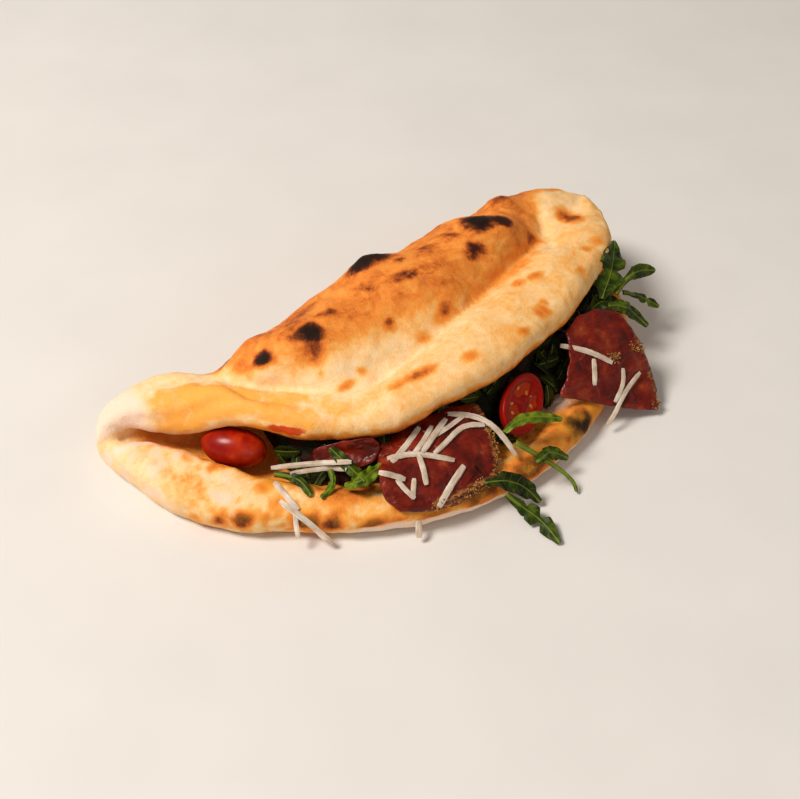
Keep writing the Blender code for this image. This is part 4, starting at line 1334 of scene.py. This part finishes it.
def heap_row(x):
    middle, _, side, half, _ = section(x)
    wall = middle + side * half[:, None]
    turn = int(np.argmax(wall[:, 0]))
    floor, roof = wall[:turn], wall[turn:][::-1]
    shut = ramp(x, HEAP_LEFT - 6, HEAP_LEFT + 16) * ramp(-x, -HEAP_RIGHT - 6, -HEAP_RIGHT + 18)
    low = max(bottom_edge(x) + 23, lid_edge(x) - 11 + 9 * swell(x, 33, 14)) + 14 * (1 - shut)
    high = lid_edge(x) + 10 + 8 * (1 - shut)
    rear = shoulder_line(x) - 14
    under = [(y, np.interp(y, floor[:, 0], floor[:, 1]) + HEAP_GAP)
             for y in np.linspace(low, rear, 24)]
    over = [(y, np.interp(y, roof[:, 0], roof[:, 1]) - HEAP_GAP)
            for y in np.linspace(rear, high, 18)]
    loop = under + over
    for share in np.linspace(0, 1, 16)[1:-1]:
        k = share * 5 - 1
        bulge = 1.6 * math.sin(x * 0.31 + k * 2.1) - 1.2 * math.sin(x * 0.17 - k * 1.3) + 1.0
        bulge += 1.1 * math.sin(x * 0.8 + k * 3.1) * math.sin(k * 4.4 - x * 0.35)
        loop.append((blend(high, low, share) - bulge * shut,
                     blend(over[-1][1], under[0][1], share)))
    mouth = [0.0] * len(under + over) + [1.0] * 14
    return np.array([(x, y, z) for y, z in loop]), mouth


heap_rows = [heap_row(x) for x in np.linspace(HEAP_LEFT, HEAP_RIGHT, HEAP_STATIONS)]
heap_points = np.vstack([row for row, _ in heap_rows])
mouth = np.concatenate([values for _, values in heap_rows])
heap_faces = tube(HEAP_STATIONS, len(heap_rows[0][0]))
heap = build("heap_core", heap_points, heap_faces, {"mouth": mouth})
turned_out(heap.data)
print("heap core triangles:", face_total(heap))

# %% [markdown]
# In deep shade the heap looks nearly black, with dull patches of dark green and brown red,
# about 6 mm wide, where leaves and bits of beef catch some light.

# %% Finish: shaded leaves
def heap_finish():
    material, tree, place = begin(
        "Packed rocket in shade", Roughness=0.6, Specular_IOR_Level=0.12)
    patch = add(tree, "TexVoronoi", {"Vector": place, "Scale": 1 / (6 * MM)}).outputs["Color"]
    part = add(tree, "SeparateColor", {"Color": patch})
    colour = add(tree, "ValToRGB", {0: part}, (
        (0.10, "100805"), (0.40, "161706"), (0.60, "1C2008"), (0.76, "2E0E08"),
        (0.95, "30190C")))
    folds = add(tree, "TexNoise", {"Vector": place, "Scale": 1 / (3 * MM), "Detail": 3.0})
    bump = add(tree, "Bump", {"Strength": 0.8, "Distance": 1.2 * MM, "Height": folds})
    shade(tree, Base_Color=colour, Normal=bump)
    return material


heap.data.materials.append(heap_finish())
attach(heap, "root")
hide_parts("filling")

# %% [markdown]
# The scraps: one small curled leaf is made once, and a node tree spreads copies of it over
# the faces whose `mouth` value is 1. The tree's inputs are the number per square metre, the
# size and the seed. `Realize Instances` turns the copies into real faces, so that they
# survive an export.

# %% Leaf scraps by Geometry Nodes
def scrap_shape():
    n, m = 8, 5
    t, u = np.meshgrid(np.linspace(0, 1, n), np.linspace(-1, 1, m), indexing="ij")
    half = 3.4 * np.sin(np.pi * (0.06 + 0.9 * t)) ** 0.6 * (1 - 0.25 * np.sin(9 * t) ** 2)
    grid = np.stack([12 * t - 6, half * u, 1.8 * np.sin(2.2 * t) + 0.9 * u * u], axis=2)
    points, faces = sheet_mesh(grid, 0.35)
    uv = np.column_stack([twice(t), twice(u)])
    return build("scrap", points, faces, {"rib": twice(2.5 * np.abs(half * u))}, uv)


def begin_tree(name, *rows):
    """A node tree with named inputs: the tree, their identifiers and the inputs to link from."""
    tree = bpy.data.node_groups.new(name, "GeometryNodeTree")
    found = {}
    for name, kind, value in (("Geometry", "Geometry", None), *rows):
        socket = tree.interface.new_socket(name, in_out="INPUT", socket_type="NodeSocket" + kind)
        if value is not None:
            socket.default_value = value
        found[name] = socket.identifier
    tree.interface.new_socket("Geometry", in_out="OUTPUT", socket_type="NodeSocketGeometry")
    return tree, found, add(tree, "NodeGroupInput").outputs


def end_tree(tree, geometry, material):
    """Makes the copies real, gives them their material and hands them out."""
    real = add(tree, "GeometryNodeRealizeInstances", {"Geometry": geometry})
    dressed = add(tree, "GeometryNodeSetMaterial", {"Geometry": real, "Material": material})
    add(tree, "NodeGroupOutput", {0: dressed})


def applied(thing, tree, values, name):
    """Runs a node tree on an object and returns the result as a plain mesh object."""
    step = thing.modifiers.new(name, "NODES")
    step.node_group = tree
    for key, value in values.items():
        step[key] = value
    graph = bpy.context.evaluated_depsgraph_get()
    data = bpy.data.meshes.new_from_object(thing.evaluated_get(graph))
    thing.modifiers.clear()
    data.shade_smooth()
    return placed(name, data)


def scatter_tree(material):
    tree, keys, given = begin_tree(
        "scatter scraps",
        ("Scrap", "Object", None),
        ("Density", "Float", 20000.0),
        ("Smallest", "Float", 0.5),
        ("Largest", "Float", 1.1),
        ("Seed", "Int", 3),
    )
    seed = given["Seed"]
    mouth = add(tree, "GeometryNodeInputNamedAttribute", {"Name": "mouth"})
    chosen = add(tree, "FunctionNodeCompare", {0: mouth, 1: 0.5}, operation="GREATER_THAN")
    points = add(tree, "GeometryNodeDistributePointsOnFaces", {
        "Mesh": given["Geometry"], "Selection": chosen, "Density": given["Density"],
        "Seed": seed})
    scrap = add(tree, "GeometryNodeObjectInfo", {"Object": given["Scrap"]}).outputs["Geometry"]
    angle = add(tree, "FunctionNodeRandomValue", {
        0: (-0.5, -0.5, 0.0), 1: (0.5, 0.5, 6.28), "Seed": seed}, data_type="FLOAT_VECTOR")
    turn = add(tree, "FunctionNodeRotateRotation", {
        "Rotation": points.outputs["Rotation"], "Rotate By": angle}, rotation_space="LOCAL")
    scale = add(tree, "FunctionNodeRandomValue", {
        2: given["Smallest"], 3: given["Largest"], "Seed": seed})
    laid = add(tree, "GeometryNodeInstanceOnPoints", {
        "Points": points, "Instance": scrap, "Rotation": turn, "Scale": scale})
    end_tree(tree, laid, material)
    return tree, keys


SHADE = ("120F04", "1B2305", "2C3708", "451A0C")
shaded_rocket = tinted(rocket, "Rocket leaf in shade", SHADE)
shade(shaded_rocket.node_tree, Specular_IOR_Level=0.12)
scrap = scrap_shape()
tree, keys = scatter_tree(shaded_rocket)
scraps = applied(heap, tree, {keys["Scrap"]: scrap}, "leaf_scraps")
bpy.data.objects.remove(scrap)
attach(scraps, "root")
print("scraps triangles:", face_total(scraps))

# %% [markdown]
# ## Shaved cheese
# Hard cheese off a coarse grater falls as flat strips, 2 to 3 mm wide and under 1 mm thick,
# with fine lines from the grater's teeth. They follow a path, so Geometry Nodes make them:
# each path is a line of points that also carries the direction of the surface under it and
# the strip's width, the line becomes a curve, and a flat profile is swept along it.

# %% Paths of the shavings
STRIPS = (
    # path, width; the first group lies on the front slice
    (((-36, -43, 25), (-28, -40, 27), (-18, -35, 30)), 2.8),
    (((-37, -41, 26), (-29, -43, 26), (-23, -46, 26), (-12, -54, 24)), 2.6),
    (((-23, -46, 27), (-14, -41, 29), (-6, -37, 31)), 2.8),
    (((-28, -46, 27), (-20, -42, 29), (-13, -37, 30)), 2.5),
    (((-19, -49, 27), (-10, -46, 28), (-1, -43, 30), (8, -46, 28)), 2.5),
    (((-25, -46, 27), (-26, -52, 24), (-28, -58, 21)), 2.6),
    (((-35, -59, 17), (-33, -56, 20), (-31, -53, 22)), 2.4),
    (((-37, -49, 21), (-36, -54, 19), (-34, -59, 17)), 2.4),
    (((-42, -43, 22), (-38, -47, 22), (-34, -51, 21)), 2.6),
    (((-26, -65, 13), (-18, -61, 18), (-9, -57, 22)), 3.1),
    (((-15, -42, 29), (-7, -41, 30), (2, -39, 31)), 2.2),
    (((-4, -35, 31), (1, -38, 31), (7, -41, 30), (11, -46, 28), (14, -52, 24), (16, -59, 17)), 2.7),
    # on the right slice, the last two over its lower edge
    (((62, -24, 33), (68, -31, 34), (75, -34, 30), (82, -38, 25)), 2.7),
    (((73, -35, 29), (71, -39, 25), (69, -43, 21)), 2.5),
    (((96, -42, 16), (89, -45, 15), (82, -48, 13), (76, -52, 9), (70, -54, 5)), 2.3),
    (((87, -40, 21), (84, -45, 16), (77, -49, 12)), 2.2),
    # on the front of the fold
    (((-81, -24, 19), (-80, -31, 18), (-78, -40, 16)), 2.6),
    (((-83, -33, 17), (-78, -43, 14), (-74, -49, 9), (-70, -53, 4)), 2.9),
    (((-79, -39, 16), (-81, -43, 12), (-82, -47, 7)), 2.3),
    (((-35, -64, 9), (-36, -66, 6), (-37, -68, 3)), 3),
    # across the opening on the left
    (((-79, -17, 20), (-66, -24, 22), (-55, -30, 23), (-50, -34, 24)), 2.5),
    (((-73, -23, 19), (-66, -26, 20), (-58, -30, 21), (-53, -35, 22)), 2.2),
)
STRIP_STEPS = 12
STRIP_RISE = 0.4         # how far a strip's middle lies above what carries it, mm
STRIP_DROP = 4.0         # a strip bridges what lies further below its path than this, mm
STRIP_SHARE = 0.92       # a strip's width against its solid's


def strip_lines():
    """Points, widths and up directions of all the strips, with the edges that join them."""
    points, ups, widths, links = [], [], [], []
    beds = [tree_of(thing) for thing in (*beef.values(), *leaves.values(), tomato, half, crust)]
    out = np.array(OPEN_SIDE) / np.linalg.norm(OPEN_SIDE)
    for number, (ends, width) in enumerate(STRIPS):
        pieces = max(STRIP_STEPS // (len(ends) - 1), 2)
        line = spline(np.array(ends, float), [pieces] * (len(ends) - 1))
        laid, up_rows = [], []
        for p in line:
            found = (bed.ray_cast(Vector(p + 9 * out), Vector(-out), 9 + STRIP_DROP)
                     for bed in beds)
            found = [hit for hit in found if hit[0] is not None]
            up = out
            if found:
                co, face, _, _ = min(found, key=lambda hit: hit[3])
                p = np.array(co) + out * STRIP_RISE
                up = out + 0.6 * np.array(face)
            laid.append(p)
            up_rows.append(up / np.linalg.norm(up))
        laid = np.array(laid)
        for _ in range(3):
            laid[1:-1] += 0.4 * (laid[:-2] + laid[2:] - 2 * laid[1:-1])
        lift = 0.5 * np.sin(np.linspace(0, math.pi, len(laid))) * ((number * 0.37) % 1)
        laid += out * (lift + 0.3 * (number % 3))[:, None]
        first = len(points)
        taper = 1 - 0.3 * np.abs(np.linspace(-1, 1, len(laid))) ** 8
        points += laid.tolist()
        ups += up_rows
        widths += (STRIP_SHARE * width * taper).tolist()
        links += [(first + k, first + k + 1) for k in range(len(laid) - 1)]
    return points, ups, widths, links


points, ups, widths, links = strip_lines()
strip_line = build("strip lines", points, [], {"up": ups, "width": np.array(widths) * MM},
                   links=links)
print("strips:", len(STRIPS), "points:", len(points))

# %% [markdown]
# Aged hard cheese is a warm white. Light goes a little way into it, so it has no dark side,
# and the lines from the grater are a shade browner.

# %% Finish: hard cheese
def cheese_finish():
    material, tree, place = begin(
        "Aged hard cheese", Roughness=0.42, Specular_IOR_Level=0.3, Subsurface_Weight=0.3,
        Subsurface_Scale=0.002, Subsurface_Radius=(1.0, 0.8, 0.55))
    patch = add(tree, "TexNoise", {"Vector": place, "Scale": 1 / (5 * MM), "Detail": 2.0})
    # the grater's teeth leave lines along each strip: noise fast round it and slow along it
    across = add(tree, "Attribute", attribute_name="across").outputs["Fac"]
    across = add(tree, "Math", {0: across, 1: 26.0}, operation="MULTIPLY")
    across = add(tree, "CombineXYZ", {0: across})
    where = add(tree, "VectorMath", {0: place, 1: (160, 160, 160), 2: across},
                operation="MULTIPLY_ADD")
    lines = add(tree, "TexNoise", {"Vector": where, "Scale": 1.0, "Detail": 2.0})
    both = add(tree, "Math", {0: patch, 1: 0.55, 2: -0.275}, operation="MULTIPLY_ADD")
    both = add(tree, "Math", {0: both, 1: lines})
    colour = add(tree, "ValToRGB", {0: both}, (
        (0.28, "A89078"), (0.44, "C6B09A"), (0.58, "DCCAB6"), (0.74, "EEE2D2")))
    bump = add(tree, "Bump", {"Strength": 0.6, "Distance": 0.2 * MM, "Height": lines})
    shade(tree, Base_Color=colour, Normal=bump)
    return material


# %% The strips by Geometry Nodes
def strip_tree(material):
    tree, keys, given = begin_tree(
        "shaved strips",
        ("Thickness share", "Float", 0.22),
        ("Step", "Float", 0.9 * MM),
        ("Tear", "Float", 0.1 * MM),
    )
    curve = add(tree, "GeometryNodeMeshToCurve", {"Mesh": given["Geometry"]})
    curve = add(tree, "GeometryNodeResampleCurve", {"Curve": curve, "Length": given["Step"]},
                mode="LENGTH")
    up = add(tree, "GeometryNodeInputNamedAttribute", {"Name": "up"}, data_type="FLOAT_VECTOR")
    curve = add(tree, "GeometryNodeSetCurveNormal", {"Curve": curve, "Normal": up}, mode="FREE")
    width = add(tree, "GeometryNodeInputNamedAttribute", {"Name": "width"})
    profile = add(tree, "GeometryNodeCurvePrimitiveQuadrilateral", {
        "Width": given["Thickness share"], "Height": 1.0})
    profile = add(tree, "GeometryNodeFilletCurve", {"Curve": profile, "Radius": 0.1, "Count": 2},
                  mode="POLY")
    around = add(tree, "GeometryNodeSplineParameter").outputs["Factor"]
    profile = add(tree, "GeometryNodeStoreNamedAttribute", {
        "Geometry": profile, "Name": "across", "Value": around})
    swept = add(tree, "GeometryNodeCurveToMesh", {
        "Curve": curve, "Profile Curve": profile, "Scale": width, "Fill Caps": True})
    where = add(tree, "GeometryNodeInputPosition")
    rough = add(tree, "TexNoise", {"Vector": where, "Scale": 1 / (1.6 * MM)}).outputs["Color"]
    rough = add(tree, "VectorMath", {0: rough, 1: (0.5, 0.5, 0.5)}, operation="SUBTRACT")
    for share in (given["Tear"], 4.0):
        rough = add(tree, "VectorMath", {0: rough, "Scale": share}, operation="SCALE")
    end_tree(tree, add(tree, "GeometryNodeSetPosition", {"Geometry": swept, "Offset": rough}),
             material)
    return tree, keys


tree, keys = strip_tree(cheese_finish())
strips = applied(strip_line, tree, {keys["Step"]: 0.9 * MM}, "cheese_shavings")
bpy.data.objects.remove(strip_line)
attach(strips, "root")
print("strips triangles:", face_total(strips))

# %% [markdown]
# ## Spice crumbs
# The cured rim of the front slice and three spots on the right one carry golden crumbs, 0.5
# to 1.2 mm across. They are made from a curve along the rim, dots along the curve pushed a
# little to every side, and one rough grain at each dot.

# %% Crumbs along the cured rim
def grain_shape():
    mesh = bmesh.new()
    bmesh.ops.create_icosphere(mesh, subdivisions=1, radius=1.0)
    points, faces = points_and_faces(mesh)
    points *= (1 + 0.35 * grain_of(points, 0.8, 31))[:, None]
    return build("grain", points, faces)


def crumb_tree(material):
    tree, keys, given = begin_tree(
        "crumbs on a rim",
        ("Grain", "Object", None),
        ("Spacing", "Float", 0.2 * MM),
        ("Spread", "Float", 1.4 * MM),
        ("Seed", "Int", 9),
    )
    curve = add(tree, "GeometryNodeMeshToCurve", {"Mesh": given["Geometry"]})
    dots = add(tree, "GeometryNodeCurveToPoints", {"Curve": curve, "Length": given["Spacing"]},
               mode="LENGTH")
    shift, turn, scale = (
        add(tree, "FunctionNodeRandomValue", {0: low, 1: high, "Seed": given["Seed"]},
            data_type="FLOAT_VECTOR")
        for low, high in (((-1, -1, -1), (1, 1, 1)), ((0, 0, 0), (6.28, 6.28, 6.28)),
                          ((0.25, 0.25, 0.2), (0.6, 0.5, 0.45)))
    )
    shift = add(tree, "VectorMath", {0: shift, "Scale": given["Spread"]}, operation="SCALE")
    dots = add(tree, "GeometryNodeSetPosition", {"Geometry": dots, "Offset": shift})
    grain = add(tree, "GeometryNodeObjectInfo", {"Object": given["Grain"]}).outputs["Geometry"]
    laid = add(tree, "GeometryNodeInstanceOnPoints", {
        "Points": dots, "Instance": grain, "Rotation": turn, "Scale": scale})
    end_tree(tree, laid, material)
    return tree, keys


# Rims that carry crumbs: the slice, and the way along it as shares down and across
CRUMBED = (
    ("ham_front", ((0.25, 0.97), (0.5, 0.98), (0.75, 0.98), (0.95, 0.97))),
    ("ham_front", ((0.96, 0.95), (0.95, 0.7), (0.95, 0.45), (0.94, 0.2))),
    ("ham_front", ((0.88, 0.9), (0.87, 0.6), (0.88, 0.3))),
    ("ham_right", ((0.44, 0.5), (0.5, 0.54), (0.43, 0.56), (0.5, 0.58), (0.44, 0.62),
                   (0.48, 0.52), (0.44, 0.58))),
    ("ham_right", ((0.38, 0.8), (0.34, 0.84), (0.39, 0.87), (0.33, 0.9), (0.38, 0.94),
                   (0.34, 0.97), (0.37, 0.86))),
    ("ham_right", ((0.88, 0.97), (0.95, 0.95), (0.9, 0.98), (0.97, 0.98), (0.97, 0.93))),
)


def rim_lines():
    """Edges along the crumbed rims, as one object."""
    points, links = [], []
    for name, path in CRUMBED:
        way = spline(np.array(path, float), [8] * (len(path) - 1))
        line = reread(beef_grids[name][0], way[None, :, 0], way[None, :, 1])[0]
        links += [(len(points) + k, len(points) + k + 1) for k in range(len(line) - 1)]
        points += (line + 0.5 * np.array(OPEN_SIDE)).tolist()
    return build("rim lines", points, [], links=links)


grain = grain_shape()
line = rim_lines()
tree, keys = crumb_tree(speckled(
    "Toasted spice crumb", 1.8, ((0.32, "5A2A12"), (0.50, "9C6428"), (0.68, "C9954E")),
    Roughness=0.6)[0])
crumbs = applied(line, tree, {keys["Grain"]: grain}, "spice_crumbs")
for thing in (grain, line):
    bpy.data.objects.remove(thing)
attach(crumbs, "root")
print("crumbs triangles:", face_total(crumbs))

# %% [markdown]
# ## Table, light and camera
# A pale matt table, one large soft light high on the left, a weaker one from the front, and
# an even pale room. The camera looks down at 43 degrees, as the eye does at a plate in front
# of it.

# %% The table
TABLE = 3000.0
corners = [(x * TABLE, y * TABLE, -0.05) for x, y in ((-1, -1), (1, -1), (1, 1), (-1, 1))]
table = build("table", corners, [(0, 1, 2, 3)])
table.data.materials.append(speckled(
    "Pale matt table", 60, ((0.3, "DFDBD6"), (0.7, "E3DFDA")), Roughness=0.8)[0])

# %% Light
TARGET = Vector((0.0, 0.0, 0.03))


def softbox(name, place, size, power, tint):
    lamp = bpy.data.lights.new(name, "AREA")
    lamp.shape = "DISK"
    lamp.size = size
    lamp.energy = power
    lamp.color = linear(tint)[:3]
    thing = placed(name, lamp)
    thing.location = place
    thing.rotation_euler = (Vector(place) - TARGET).to_track_quat("Z", "Y").to_euler()


softbox("key", (-1.10, 0.30, 1.60), 0.7, 37.0, "FFF9F2")
softbox("fill", (-0.30, -1.70, 0.90), 1.2, 3.5, "FFF6EA")
room = bpy.data.worlds.new("room")
room.use_nodes = True
room.node_tree.nodes["Background"].inputs[0].default_value = linear("FAF3EB")
room.node_tree.nodes["Background"].inputs[1].default_value = 0.30
bpy.context.scene.world = room
bpy.context.scene.view_settings.view_transform = "Standard"

# %% Camera
EYE = Vector((-0.2228, -0.3607, 0.4074))
BACK = Vector((-0.3743, -0.6249, 0.6851)).normalized()
ROLL = math.radians(1.075)
level = Vector((0, 0, 1)).cross(BACK).normalized()
rise = BACK.cross(level)
right = level * math.cos(ROLL) + rise * math.sin(ROLL)
up = BACK.cross(right)
lens = bpy.data.cameras.new("camera")
lens.sensor_width = 36.0
lens.lens = 57.6
lens.clip_start = 0.01
camera = placed("camera", lens)
turn = Matrix((right, up, BACK)).transposed().to_4x4()
camera.matrix_world = Matrix.Translation(EYE) @ turn
bpy.context.scene.camera = camera
print("camera at", [round(v, 3) for v in EYE])
